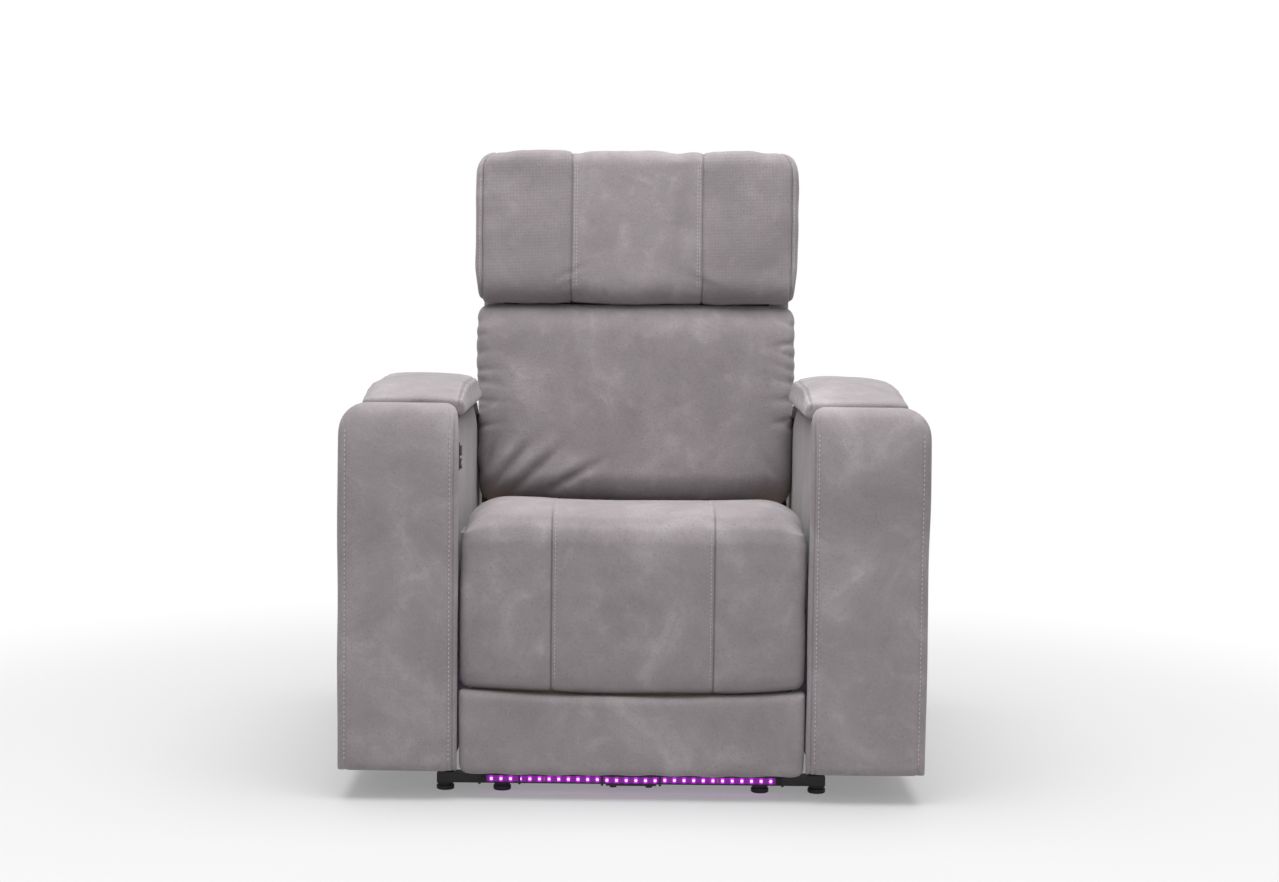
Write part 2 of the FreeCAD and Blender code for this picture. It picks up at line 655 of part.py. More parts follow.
def make_seat_cushion():
    base = float(deck_top)
    half = float(seat_half)
    edge = float(s.seat_crest - s.seat_edge_drop)
    crest = float(s.seat_crest)
    dip = float(s.seam_depth)
    seam = float(s.seam_out)
    # depth, half width, drop of the edge, drop of the crown, share of the channel
    nose_end = float(s.leg_pad_rear)
    stations = [(6, 6, 34, 40, 0.5), (10, 3, 22, 26, 1), (20, 1, 12, 15, 1), (45, 0, 2, 5, 1),
                (nose_end, 0, 1, 3, 1), (nose_end + 3, 0, 1, 3, 1), (110, 1, 0, 0, 1),
                (260, 3, 0, 1, 1), (420, 2, 6, 8, 1), (500, 1, 16, 18, 1),
                (float(s.seat_rear), 5, 24, 28, 0.5)]
    sections = []
    for depth, draw_in, edge_drop, crown_drop, share in stations:
        foot = float(nose[1] + s.soft_gap) if depth <= nose_end else base
        edges = crowned_section(half - draw_in, foot, edge - edge_drop, crest - crown_drop,
                                seam, dip * share, 2)
        sections.append((edges, across_height(float(at_depth(depth)))))
    soft_node("seat_cushion", soft_loft(sections))


# Footrest: pads, board and brackets that turn about the seat's nose

def make_footrest():
    seam = float(s.seam_out)
    dip = float(s.seam_depth)
    half = float(seat_half)
    rear = -float(at_depth(s.leg_pad_rear))
    front = -float(at_depth(s.nose_depth))
    top = float(nose[1] - s.soft_gap)
    low = float(s.leg_pad_bottom)
    stations = [(low, 8, 22, 0.4), (low + 6, 3, 9, 0.8), (low + 20, 0, 0, 1),
                ((low + top) / 2, 3, 0, 1), (top - 20, 0, 1, 1), (top, 3, 4, 1)]
    sections = []
    for z, draw_in, drop, share in stations:
        edges = crowned_section(half - draw_in, rear, front - 12 - drop, front - drop,
                                seam, dip * share, 2)
        sections.append((edges, across_front(z)))
    soft_node("leg_pad", soft_loft(sections))
    corner = float(s.panel_corner)
    low = float(s.lower_panel_bottom)
    top = float(s.leg_pad_bottom - s.soft_gap)
    front = -float(at_depth(s.lower_panel_front))
    stations = [(low, corner, 16), (low + corner * 0.13, corner * 0.5, 9),
                (low + corner * 0.5, corner * 0.13, 3), (low + corner, 0, 0), (top, 0, 0)]
    sections = []
    for z, draw_in, drop in stations:
        edges = crowned_section(half - draw_in, rear, front - 10 - drop, front - drop, None, 0, 2)
        sections.append((edges, across_front(z)))
    soft_node("lower_panel", soft_loft(sections))
    inset = s.seam_depth + 13
    board_half = seat_half - inset
    keep("footrest_board", box("footrest_board", -board_half, at_depth(s.leg_pad_rear), s.board_bottom,
                               2 * board_half, s.board_rear - s.leg_pad_rear,
                               nose[1] - s.board_top_gap - s.board_bottom))
    pieces = []
    for side in (-1, 1):
        tag = side_name(side)
        low_x = side_low(side, bracket_layer, bracket_layer + s.link_sheet)
        board_back = at_depth(s.board_rear)
        rim = s.link_radius
        corners = [(board_back, main_eye[1] - 2 * rim), (main_eye[0], main_eye[1] - 2 * rim),
                   (main_eye[0] + rim, main_eye[1] - rim), (main_eye[0] + rim, main_eye[1] + rim),
                   (second_eye[0] + rim, second_eye[1] - rim), (second_eye[0] + rim, second_eye[1] + rim),
                   (second_eye[0], second_eye[1] + 1.5 * rim), (board_back, second_eye[1] + 1.5 * rim)]
        corners[4:4] = [(board_back + rim / 2, main_eye[1] + 3 * rim),
                        (board_back + rim / 2, second_eye[1] - 3 * rim)]
        web = sheet_plate(f"footrest_web_{tag}", low_x, corners, s.link_sheet, (), ())
        flange = side_box(f"footrest_flange_{tag}", side, bracket_layer,
                          bracket_layer + s.seat_frame_wall - 3, board_back, main_eye[1] - 2 * rim,
                          s.link_sheet, second_eye[1] - main_eye[1] + 3.5 * rim)
        pieces += [web, flange]
        for which, eye in (("main", main_eye), ("second", second_eye)):
            pieces.append(side_rod(f"{which}_eye_pin_{tag}", side, coupler_layer - s.pin_proud, bracket_layer,
                                   *eye, s.pin_radius))
    keep("footrest_brackets", fuse("footrest_brackets", pieces))


# Footrest linkage: on each side two links and two couplers, so that the footrest turns about
# the nose of the seat

def make_links():
    pieces = []
    for side in (-1, 1):
        tag = side_name(side)
        low = side_low(side, link_layer, link_layer + s.link_sheet)
        pieces.append(strap(f"main_link_{tag}", low, main_pivot, main_knee, s.link_radius, s.link_sheet,
                            None, None))
        pieces.append(knee_pin(f"main_knee_{tag}", side, main_knee))
    outer = link_layer + s.link_sheet
    pieces.append(rod("drive_tube", "x", -outer, *main_pivot, 2 * outer, s.torsion_radius))
    pieces += crank_pair("drive", main_pivot, s.crank_length, s.crank_lean)
    keep("main_links", fuse("main_links", pieces))
    for side in (-1, 1):
        tag = side_name(side)
        low = side_low(side, link_layer, link_layer + s.link_sheet)
        link = strap(f"second_link_{tag}_strap", low, second_pivot, second_knee, s.link_radius,
                     s.link_sheet, bore, None)
        pin = knee_pin(f"second_knee_{tag}", side, second_knee)
        keep(f"second_link_{tag}", fuse(f"second_link_{tag}", [link, pin]))
        low = side_low(side, coupler_layer, coupler_layer + s.link_sheet)
        keep(f"main_coupler_{tag}", strap(f"main_coupler_{tag}", low, main_knee, main_eye,
                                          s.link_radius, s.link_sheet, bore, bore))
        keep(f"second_coupler_{tag}", strap(f"second_coupler_{tag}", low, second_knee, second_eye,
                                            s.link_radius, s.link_sheet, bore, bore))


def knee_pin(name, side, knee):
    return side_rod(name, side, link_layer, coupler_layer + s.link_sheet + s.pin_proud, *knee, s.pin_radius)


def make_back_links():
    for side in (-1, 1):
        name = f"back_link_{side_name(side)}"
        low = side_low(side, back_link_layer, back_link_layer + s.link_sheet)
        keep(name, strap(name, low, back_link_foot, lever, s.link_radius, s.link_sheet, bore,
                         s.pin_radius + s.back_link_play))


# Drives: a rectangular housing with a bore, a rod with a fork that takes the crank's pin

drive_height = main_pivot[1] - s.crank_length * cosine(s.crank_lean / 2)
recline_height = rear_foot_pivot[1] - s.recline_crank * cosine(s.recline_crank_lean / 2)


def make_drive(name, front, rear, height, fork_at, forward, motor_side):
    """Housing from front to rear depth; the fork stands at its crank pin, ahead or behind."""
    side = s.actuator_side
    low = height - side / 2
    body = box(f"{name}_case", -side / 2, at_depth(front), low, side, rear - front, side)
    motor_y = at_depth(rear) - s.motor_rear if forward else at_depth(front) + s.motor_start
    motor = rod(f"{name}_motor", "y", motor_side * (side / 2 + s.motor_offset), motor_y, height,
                s.motor_length, s.motor_radius)
    gearbox = box(f"{name}_gearbox", side / 2 if motor_side > 0 else -1.5 * side, motor_y - s.gearbox_front,
                  low + s.gearbox_inset, side, s.gearbox_width, side - 2 * s.gearbox_inset)
    bore_room = rod(f"{name}_bore", "y", 0, at_depth(front) - 1, height, rear - front + 2 - s.case_end,
                    s.rod_radius + s.rod_play)
    if not forward:
        bore_room = rod(f"{name}_bore_rear", "y", 0, at_depth(front) + s.case_end, height, rear - front,
                        s.rod_radius + s.rod_play)
    housing = cut(name, fuse(f"{name}_solid", [body, motor, gearbox]), bore_room)
    half_slot = s.crank_pin_radius + s.fork_play
    block = half_slot + s.fork_end
    fork = box(f"{name}_fork", -s.fork_sheet / 2, fork_at - block, height - s.fork_height / 2,
               s.fork_sheet, 2 * block, s.fork_height)
    slot = box(f"{name}_slot", -s.fork_sheet, fork_at - half_slot, height - s.fork_height / 2 + s.fork_rim,
               2 * s.fork_sheet, 2 * half_slot, s.fork_height - 2 * s.fork_rim)
    return housing, fork, slot, block


def make_drives():
    start = main_pivot[0] + s.crank_length * sine(s.crank_lean)
    housing, fork, slot, block = make_drive("footrest_actuator", s.footrest_drive_front,
                                            s.footrest_drive_rear - s.torsion_radius, drive_height,
                                            start, True, 1)
    keep("footrest_actuator", housing)
    rod_start = start + block - s.link_gap
    rod_length = at_depth(s.footrest_drive_front) - rod_start + s.footrest_stroke + s.rod_hold
    bar = rod("footrest_rod", "y", 0, rod_start, drive_height, rod_length, s.rod_radius)
    keep("footrest_slider", cut("footrest_slider", fuse("footrest_slider_solid", [bar, fork]), slot))
    recline_drive_rear = s.rear_carrier_depth - s.recline_drive_gap
    start = rear_foot_pivot[0] + s.recline_crank * sine(-s.recline_crank_lean)
    housing, fork, slot, block = make_drive("recline_actuator", s.recline_drive_front,
                                            recline_drive_rear, recline_height, start, False, -1)
    keep("recline_actuator", housing)
    rear = at_depth(recline_drive_rear)
    rod_low = rear - s.recline_stroke - s.rod_hold
    bar = rod("recline_rod", "y", 0, rod_low, recline_height, start - block + s.link_gap - rod_low, s.rod_radius)
    keep("recline_slider", cut("recline_slider", fuse("recline_slider_solid", [bar, fork]), slot))


def make_front_bracket():
    deep = s.recline_drive_front - s.tube_front
    wide = s.bracket_width
    left = -s.bracket_width / 2
    front = at_depth(s.tube_front) - s.link_sheet
    foot = s.foot_height - s.link_gap
    top = recline_height + s.actuator_side / 2
    plate = box("bracket_block", left, front, foot, wide, s.link_sheet, top - foot)
    seat = box("bracket_shelf", left, front, tube_top, wide, deep + s.link_sheet,
               recline_height - s.actuator_side / 2 - tube_top)
    upright = box("bracket_upright", left, at_depth(s.recline_drive_front) - s.link_sheet, tube_top,
                  wide, s.link_sheet, top - tube_top)
    under = box("bracket_under", left, front, foot, wide, s.tube_depth + s.link_sheet, s.link_gap)
    bolts = []
    for side in (-1, 1):
        bolts.append(rod(f"bracket_bolt_{side_name(side)}", "z", side * s.bolt_out,
                         at_depth(s.tube_front) + s.tube_depth / 2, s.foot_height - s.link_gap - s.bolt_length,
                         s.bolt_length, s.bolt_radius))
    keep("actuator_bracket", fuse("actuator_bracket", [plate, seat, upright, under] + bolts))


# Light strip on the front tube

def make_lights():
    face = at_depth(s.tube_front)
    start = -strip_half
    strip_low = s.foot_height + (s.tube_height - s.led_width) / 2
    gap_half = s.bracket_width / 2 + 0.5
    parts = []
    for side in (-1, 1):
        parts.append(side_box(f"strip_{side_name(side)}", side, gap_half, strip_half,
                              face - s.led_strip, strip_low, s.led_strip, s.led_width))
    front_face = face - s.link_sheet - s.led_strip
    parts.append(box("strip_middle", -gap_half, front_face, strip_low, 2 * gap_half, s.led_strip, s.led_width))
    keep("led_strip", group("led_strip", parts))
    chips = []
    for i in range(int(float(led_count))):
        middle = start + s.led_pitch * (i + 0.5)
        ahead = front_face if abs(float(middle)) < float(gap_half) else face - s.led_strip
        chips.append(box(f"chip_{i}", middle - s.led_chip / 2, ahead - s.led_chip_height,
                         strip_low + (s.led_width - s.led_chip) / 2, s.led_chip, s.led_chip_height, s.led_chip))
    keep("led_chips", group("led_chips", chips))
    ties = []
    end_tie = strip_half + s.led_end_length - s.end_tie_in
    foot_tie = inner_foot - s.foot_radius - s.foot_tie_gap
    middle_tie = s.bracket_width / 2 + s.middle_tie_gap
    for i, out in enumerate((-end_tie, -foot_tie, -middle_tie, middle_tie, end_tie)):
        ties.append(tie_ring(f"tie_{i}", out, face))
    keep("cable_ties", group("cable_ties", ties))
    ends = []
    for side in (-1, 1):
        ends.append(side_box(f"led_end_{side_name(side)}", side, strip_half, strip_half + s.led_end_length,
                             face - s.led_end, strip_low, s.led_end, s.led_width))
    keep("led_leads", group("led_leads", ends))


def tie_ring(name, out, face):
    """Flat tie round the tube and the strip, with its lock on top."""
    room = s.led_strip + s.led_chip_height + 2 * s.tie_play
    if abs(float(out)) < float(s.bracket_width) / 2 + float(s.foot_radius):
        room = room + s.link_sheet
    low = s.foot_height - s.tie_play
    outer = box(f"{name}_outside", out - s.tie_width / 2, face - room - s.tie, low - s.tie,
                s.tie_width, s.tube_depth + room + 2 * s.tie + s.tie_play,
                s.tube_height + 2 * s.tie_play + 2 * s.tie)
    inner = box(f"{name}_inside", out - s.tie_width, face - room, low, 2 * s.tie_width,
                s.tube_depth + room + s.tie_play, s.tube_height + 2 * s.tie_play)
    ring = cut(f"{name}_band", outer, inner)
    lock = box(f"{name}_lock", out - s.tie_width, face - room - s.tie, low + s.tube_height + 2 * s.tie_play + s.tie,
               2 * s.tie_width, s.tie_lock, s.tie_lock_height)
    return fuse(name, [ring, lock])


# Arms: board boxes with pads, bins, lids and hinges

def arm_outline(inset):
    """Side view of an arm from the frame's front, pulled in all round by a wall."""
    front = at_depth(s.front_pad_thickness) + inset
    rear = at_depth(s.overall_depth) - s.arm_side_pad - inset
    low = s.arm_bottom + inset
    return front, rear, low, [
        (front, low), (rear, low), (rear, s.arm_rear_top - inset),
        (at_depth(s.slope_break), s.slope_break_top - inset),
        (at_depth(s.slope_start), s.arm_top - inset)]


def make_arm(side):
    tag = side_name(side)
    board = s.arm_board
    front, rear, low, outline = arm_outline(0)
    body = doc.addObject("PartDesign::Body", f"arm_frame_{tag}")
    corners = outline + [(front, s.arm_top)]
    pad(body, f"arm_frame_{tag}_block", draw(body, f"arm_frame_{tag}_side", "YZ_Plane", corners),
        frame_outer - frame_inner)
    front, rear, low, inside = arm_outline(board)
    mouth_front = at_depth(s.bin_front)
    mouth_rear = at_depth(s.bin_rear)
    over = s.arm_top + board
    inside = inside + [(mouth_rear, s.arm_top - board), (mouth_rear, over), (mouth_front, over),
                       (mouth_front, s.arm_top - board), (front, s.arm_top - board)]
    hollow = draw(body, f"arm_frame_{tag}_hollow", "YZ_Plane", inside, offset=board)
    pocket(body, f"arm_frame_{tag}_room", hollow, frame_outer - frame_inner - 2 * board, back=True)
    bind(body, "Placement.Base.x", side_low(side, frame_inner, frame_outer))
    keep(f"arm_frame_{tag}", body)
    make_outer_panel(side)
    make_front_pad(side)
    make_bin(side)
    make_lid(side)


def make_outer_panel(side):
    tag = side_name(side)
    name = f"arm_outer_panel_{tag}"
    leaf_top = s.arm_top + s.hinge_leaf + s.hinge_play
    roll_inner = lid_axis_out + s.knuckle_radius + s.knuckle_room
    body = doc.addObject("PartDesign::Body", name)
    across = [(side * frame_outer, s.arm_bottom), (side * half_width, s.arm_bottom),
              (side * half_width, s.roll_top), (side * roll_inner, s.roll_top),
              (side * roll_inner, leaf_top), (side * frame_outer, leaf_top)]
    start = at_depth(s.front_pad_depth)
    length = s.overall_depth - s.front_pad_depth
    pad(body, f"{name}_block", draw(body, f"{name}_section", "XZ_Plane", across), length, back=True)
    round_edges(body, f"{name}_roll", s.roll_round,
                [(side * half_width, length / 2, s.roll_top)])
    slope = [(at_depth(s.slope_start) - start, s.arm_top + s.cut_room), (at_depth(s.slope_start) - start, s.arm_top),
             (at_depth(s.slope_break) - start, s.slope_break_top),
             (length + 5, s.arm_rear_top), (length + 5, s.arm_top + s.cut_room)]
    cut_side = draw(body, f"{name}_slope", "YZ_Plane", slope, offset=side * half_width + side)
    pocket(body, f"{name}_fall", cut_side, half_width, back=side < 0)
    bind(body, "Placement.Base.y", start)
    rear = side_box(f"{name}_rear", side, arm_inner, half_width,
                    at_depth(s.overall_depth) - s.arm_side_pad, s.arm_bottom, s.arm_side_pad,
                    s.arm_rear_top - s.arm_bottom)
    keep(name, fuse(name, [body, rear]))


def make_inner_panel(side):
    front, rear, low, outline = arm_outline(0)
    mouth = at_depth(s.front_pad_depth)
    corners = [(mouth, low)] + outline[1:] + [(mouth, s.arm_top)]
    return sheet_plate(f"arm_inner_panel_{side_name(side)}", side_low(side, arm_inner, frame_inner),
                       corners, s.arm_inner_pad, (),
                       [(4, s.inner_panel_shoulder), (3, s.inner_panel_fall), (2, s.inner_panel_rear)])


def make_front_pad(side):
    tag = side_name(side)
    name = f"arm_front_pad_{tag}"
    body = doc.addObject("PartDesign::Body", name)
    start = at_depth(0)
    across = [(side * pad_inner, s.arm_bottom), (side * half_width, s.arm_bottom),
              (side * half_width, s.front_pad_top), (side * pad_inner, s.front_pad_top)]
    deep = s.front_pad_depth
    pad(body, f"{name}_block", draw(body, f"{name}_section", "XZ_Plane", across), deep, back=True)
    round_edges(body, f"{name}_shoulder", s.front_shoulder_round,
                [(side * half_width, deep / 2, s.front_pad_top)])
    round_edges(body, f"{name}_inner_shoulder", s.inner_shoulder_round,
                [(side * pad_inner, deep / 2, s.front_pad_top)])
    round_edges(body, f"{name}_front", s.front_pad_round, [(side * half_width, 0, s.front_pad_top / 2)])
    room = [(side * frame_inner, s.arm_bottom - 5), (side * frame_outer, s.arm_bottom - 5),
            (side * frame_outer, s.arm_top + s.soft_gap), (side * frame_inner, s.arm_top + s.soft_gap)]
    inner = draw(body, f"{name}_room", "XZ_Plane", room, offset=-(deep + 1))
    pocket(body, f"{name}_hollow", inner, deep + 1 - s.front_pad_thickness, back=True)
    bind(body, "Placement.Base.y", start)
    keep(name, body)


def make_bin(side):
    tag = side_name(side)
    name = f"storage_bin_{tag}"
    gap = s.bin_gap
    inner = frame_inner + s.arm_board + gap
    outer = frame_outer - s.arm_board - gap
    front = at_depth(s.bin_front) + gap
    deep = s.bin_rear - s.bin_front - 2 * gap
    wall = s.bin_wall
    tub = side_box(f"{name}_tub", side, inner, outer, front, s.bin_floor, deep, s.arm_top - s.bin_floor)
    rim = side_box(f"{name}_rim", side, inner - s.bin_lip, lid_axis_out - gap, front - s.bin_lip, s.arm_top,
                   deep + 2 * s.bin_lip, s.bin_rim)
    room = side_box(f"{name}_room", side, inner + wall, lid_axis_out - s.bin_hinge_room, front + wall,
                    s.bin_floor + wall, deep - 2 * wall, s.arm_top - s.bin_floor + 5)
    keep(name, cut(name, fuse(f"{name}_solid", [tub, rim]), room))


def make_lid(side):
    tag = side_name(side)
    axis = (lid_axis_out, s.lid_axis_height)
    low = s.arm_top + s.bin_rim + s.lid_clearance
    board_low = low + s.hinge_leaf
    board_in = lid_inner + s.lid_board_inset
    board_out = lid_outer - s.lid_axis_gap
    board_front = at_depth(s.lid_front + s.lid_board_end)
    board_deep = s.lid_rear - s.lid_front - 2 * s.lid_board_end
    keep(f"lid_board_{tag}", side_box(f"lid_board_{tag}", side, board_in, board_out, board_front, board_low,
                                      board_deep, s.lid_board_thickness))
    middle = side * float(lid_inner + lid_outer) / 2
    half = float(lid_outer - lid_inner) / 2
    base = float(low)
    edge = float(s.lid_edge_top)
    crown = float(s.lid_crown)
    sections = []
    length = float(s.lid_rear - s.lid_front)
    for along, draw_in, edge_drop, crown_drop in ((0, 4, 10, 19), (5, 1, 4, 9), (20, 0, 1, 3),
                                                  (length / 2, 1.5, 0, 0), (length - 20, 0, 1, 2),
                                                  (length - 5, 1, 5, 8), (length, 5, 12, 20)):
        edges = crowned_section(half - draw_in, base, edge - edge_drop, crown - crown_drop, None, 0, 1)
        y = float(at_depth(s.lid_front)) + along
        sections.append((edges, lambda across, height, y=y: Vector(middle + across, y, height)))
    shape = soft_loft(sections)
    recess = Part.makeBox(float(board_out - board_in) + 0.4, float(board_deep) + 0.4,
                          float(s.lid_board_thickness + s.hinge_leaf) + 1.2)
    recess_low = min(side * float(board_in), side * float(board_out)) - 0.2
    recess.translate(Vector(recess_low, float(board_front) - 0.2, base - 1))
    slit = Part.makeBox(12, float(s.lid_hinge_length) + 2, float(s.hinge_leaf) + 1.2)
    slit_low = min(side * float(board_out), side * (float(board_out) + 12))
    slit.translate(Vector(slit_low, float(at_depth(s.lid_front + s.lid_hinge_start)) - 1, base - 1))
    soft_node(f"lid_pad_{tag}", shape.cut(recess).cut(slit).removeSplitter())
    hinge_front = at_depth(s.lid_front + s.lid_hinge_start)
    knuckle = s.lid_hinge_length / s.knuckle_count
    leaf = side_box(f"lid_leaf_{tag}", side, board_out - s.lid_leaf_width, lid_axis_out, hinge_front,
                    low, s.lid_hinge_length, s.hinge_leaf)
    slots = []
    moving = [leaf]
    for i in range(int(float(s.knuckle_count))):
        at = hinge_front + knuckle * i
        if i % 2 == 0:
            moving.append(rod(f"lid_knuckle_{tag}_{i}", "y", side * axis[0], at + s.knuckle_gap, axis[1],
                              knuckle - 2 * s.knuckle_gap, s.knuckle_radius))
        else:
            slots.append(side_box(f"lid_slot_{tag}_{i}", side, lid_axis_out - s.knuckle_radius - s.knuckle_room,
                                  lid_axis_out + s.knuckle_radius + s.knuckle_room, at - s.knuckle_gap, low - 1,
                                  knuckle + 2 * s.knuckle_gap, 2 * s.knuckle_radius + 8))
    bore_room = rod(f"lid_hinge_bore_{tag}", "y", side * axis[0], hinge_front - 1, axis[1],
                    s.lid_hinge_length + 2, s.hinge_pin_radius + s.hinge_play)
    keep(f"lid_hinge_{tag}", cut(f"lid_hinge_{tag}", fuse(f"lid_hinge_solid_{tag}", moving),
                                 fuse(f"lid_hinge_cuts_{tag}", slots + [bore_room])))


def make_fixed_leaf(side):
    tag = side_name(side)
    hinge_front = at_depth(s.lid_front + s.lid_hinge_start)
    knuckle = s.lid_hinge_length / s.knuckle_count
    leaf = side_box(f"arm_leaf_{tag}", side, lid_axis_out, frame_outer - s.bin_gap, hinge_front,
                    s.arm_top, s.lid_hinge_length, s.hinge_leaf)
    pieces = [leaf]
    for i in range(int(float(s.knuckle_count))):
        if i % 2 == 1:
            at = hinge_front + knuckle * i
            low = at + s.knuckle_gap
            length = knuckle - 2 * s.knuckle_gap
            pieces.append(rod(f"arm_knuckle_{tag}_{i}", "y", side * lid_axis_out, low, s.lid_axis_height,
                              length, s.knuckle_radius))
            pieces.append(side_box(f"arm_knuckle_web_{tag}_{i}", side, lid_axis_out, lid_axis_out + s.hinge_leaf,
                                   low, s.arm_top, length, s.lid_axis_height - s.arm_top))
    pieces.append(rod(f"arm_hinge_pin_{tag}", "y", side * lid_axis_out, hinge_front, s.lid_axis_height,
                      s.lid_hinge_length, s.hinge_pin_radius))
    return fuse(f"arm_leaf_fused_{tag}", pieces)


# Control plate with two rockers on the inner side of the left arm

def make_controls():
    face = -arm_inner
    low = s.switch_low
    plate = box("switch_plate", face, at_depth(s.switch_depth), low, s.switch_plate, s.switch_width,
                s.switch_height)
    border = s.switch_border
    rocker_high = (s.switch_height - 3 * border) / 2
    windows = []
    for i, name in enumerate(("footrest_switch", "recline_switch")):
        base = low + border + (rocker_high + border) * i
        windows.append(box(f"{name}_window", face + 1, at_depth(s.switch_depth) + border, base,
                           s.switch_plate, s.switch_width - 2 * border, rocker_high))
        middle = base + rocker_high / 2
        gap = s.rocker_gap
        body = doc.addObject("PartDesign::Body", name)
        lift = s.switch_plate + s.rocker_rise
        foot = s.rocker_foot
        reach = rocker_high / 2 - gap
        outline = [(foot, -reach * 0.45), (s.switch_plate, -reach), (lift, -reach * 0.8),
                   (lift - s.rocker_dip, 0), (lift, reach * 0.8), (s.switch_plate, reach), (foot, reach * 0.45)]
        sketch = draw(body, f"{name}_side", "XZ_Plane", outline)
        pad(body, f"{name}_block", sketch, s.switch_width - 2 * border - 2 * gap, back=True)
        put(body, face, at_depth(s.switch_depth) + border + gap, middle)
        keep(name, body)
    keep("control_plate", cut("control_plate", plate, fuse("switch_windows", windows)))


# Back and headrest, made upright at the hip and leaned as one

def lean_back(thing):
    thing.Placement = Placement(Vector(), Rotation(Vector(-1, 0, 0), float(s.back_lean)))
    bind(thing, "Placement.Rotation.Angle", s.back_lean)
    return put(thing, 0, hip[0], hip[1])


def soft_lean(name, shape):
    thing = soft_node(name, shape)
    thing.Placement = Placement(Vector(0, float(hip[0]), float(hip[1])),
                                Rotation(Vector(-1, 0, 0), float(s.back_lean)))


def upright_lever():
    """Place of the lever's pin in the upright frame of the back."""
    out, drop = s.lever_out, s.lever_drop
    return (out * cosine(s.back_lean) + drop * sine(s.back_lean),
            out * sine(s.back_lean) - drop * cosine(s.back_lean))


def make_back():
    face = s.frame_front
    deep = s.frame_thickness
    inner = stile_inner
    outer = inner + s.stile_width
    pieces = []
    for side in (-1, 1):
        tag = side_name(side)
        pieces.append(side_box(f"stile_{tag}", side, inner, outer, face, s.frame_bottom, deep,
                               s.frame_top - s.frame_bottom))
        pin = upright_lever()
        ear = s.link_radius
        behind = face + deep
        corners = [(-ear, -ear / 2), (pin[0], pin[1] - ear), (pin[0] + ear, pin[1] - ear),
                   (pin[0] + ear, pin[1] + ear / 2), (behind, s.cover_bottom - s.ratchet_sheet),
                   (behind, s.frame_bottom + s.hip_plate_rise), (face, s.frame_bottom + s.hip_plate_rise),
                   (face, s.back_bottom - 6), (-ear, ear)]
        plate = sheet_plate(f"hip_plate_{tag}", side_low(side, carrier_layer, carrier_layer + s.carrier_sheet),
                            corners, s.carrier_sheet, [(0, 0, bore)], [(0, 10)])
        pieces.append(plate)
        pieces.append(side_rod(f"lever_pin_{tag}", side, back_link_layer - s.pin_proud, carrier_layer + 1,
                               pin[0], pin[1], s.pin_radius))
    hinge_up = s.head_bottom + s.head_round
    for i, z in enumerate((s.frame_bottom + 2 * s.back_rail / 3, s.back_top / 2,
                           hinge_up - s.back_rail / 2, s.frame_top - s.back_rail)):
        pieces.append(box(f"back_rail_{i}", -inner, face, z, 2 * inner, deep, s.back_rail))
    pivot = -(s.head_front + s.head_rear) / 2
    for side in (-1, 1):
        tag = side_name(side)
        low = side_low(side, s.ratchet_out + s.ratchet_sheet + s.ratchet_gap,
                       s.ratchet_out + 2 * s.ratchet_sheet + s.ratchet_gap)
        rim = s.ratchet_rim
        corners = [(pivot - rim, hinge_up - rim), (face, hinge_up - 1.5 * rim), (face, hinge_up + 1.5 * rim),
                   (pivot - rim, hinge_up + rim)]
        pieces.append(sheet_plate(f"ratchet_leaf_{tag}", low, corners, s.ratchet_sheet, (),
                                  [(0, rim - 1), (3, rim - 1)]))
        pieces.append(side_rod(f"ratchet_pin_{tag}", side, s.ratchet_out - 1,
                               s.ratchet_out + 2 * s.ratchet_sheet + s.ratchet_gap, pivot, hinge_up, s.ratchet_pin))
    keep("back_frame", lean_back(fuse("back_frame", pieces)))
    cover_face = face + deep
    cover = doc.addObject("PartDesign::Body", "back_cover_body")
    half = back_half - s.cover_inset
    low = s.cover_bottom
    top = s.frame_top + s.cover_rise
    thick = s.cover_thickness
    across = [(-half, low), (half, low), (half, top), (-half, top)]
    pad(cover, "back_cover_pad", draw(cover, "back_cover_outline", "XZ_Plane", across), thick, back=True)
    up = (low + s.frame_top) / 2
    round_edges(cover, "back_cover_corners", s.cover_corner, [(-half, thick / 2, top), (half, thick / 2, top)])
    round_edges(cover, "back_cover_edges", s.cover_edge, [(-half, thick, up), (half, thick, up)])
    bind(cover, "Placement.Base.y", cover_face)
    keep("back_cover", lean_back(group("back_cover", [cover])))


def make_back_cushion():
    rear = -float(s.frame_front) + float(s.soft_gap)
    front = float(s.back_front)
    half = float(back_half)
    low = float(s.back_bottom)
    top = float(s.back_top)
    stations = [(low, 10, 34, 30), (low + 6, 5, 18, 14), (low + 22, 1, 8, 4), (low + 110, 2, 4, 0),
                ((low + top) / 2, 5, 3, 0), (top - 90, 3, 4, 2), (top - 22, 1, 6, 4),
                (top - 6, 4, 14, 12), (top, 8, 30, 28)]
    sections = []
    for z, draw_in, edge_drop, crown_drop in stations:
        edges = crowned_section(half - draw_in, rear, front - 16 - edge_drop, front - crown_drop, None, 0, 1)
        sections.append((edges, across_front(z)))
    soft_lean("back_cushion", soft_loft(sections))


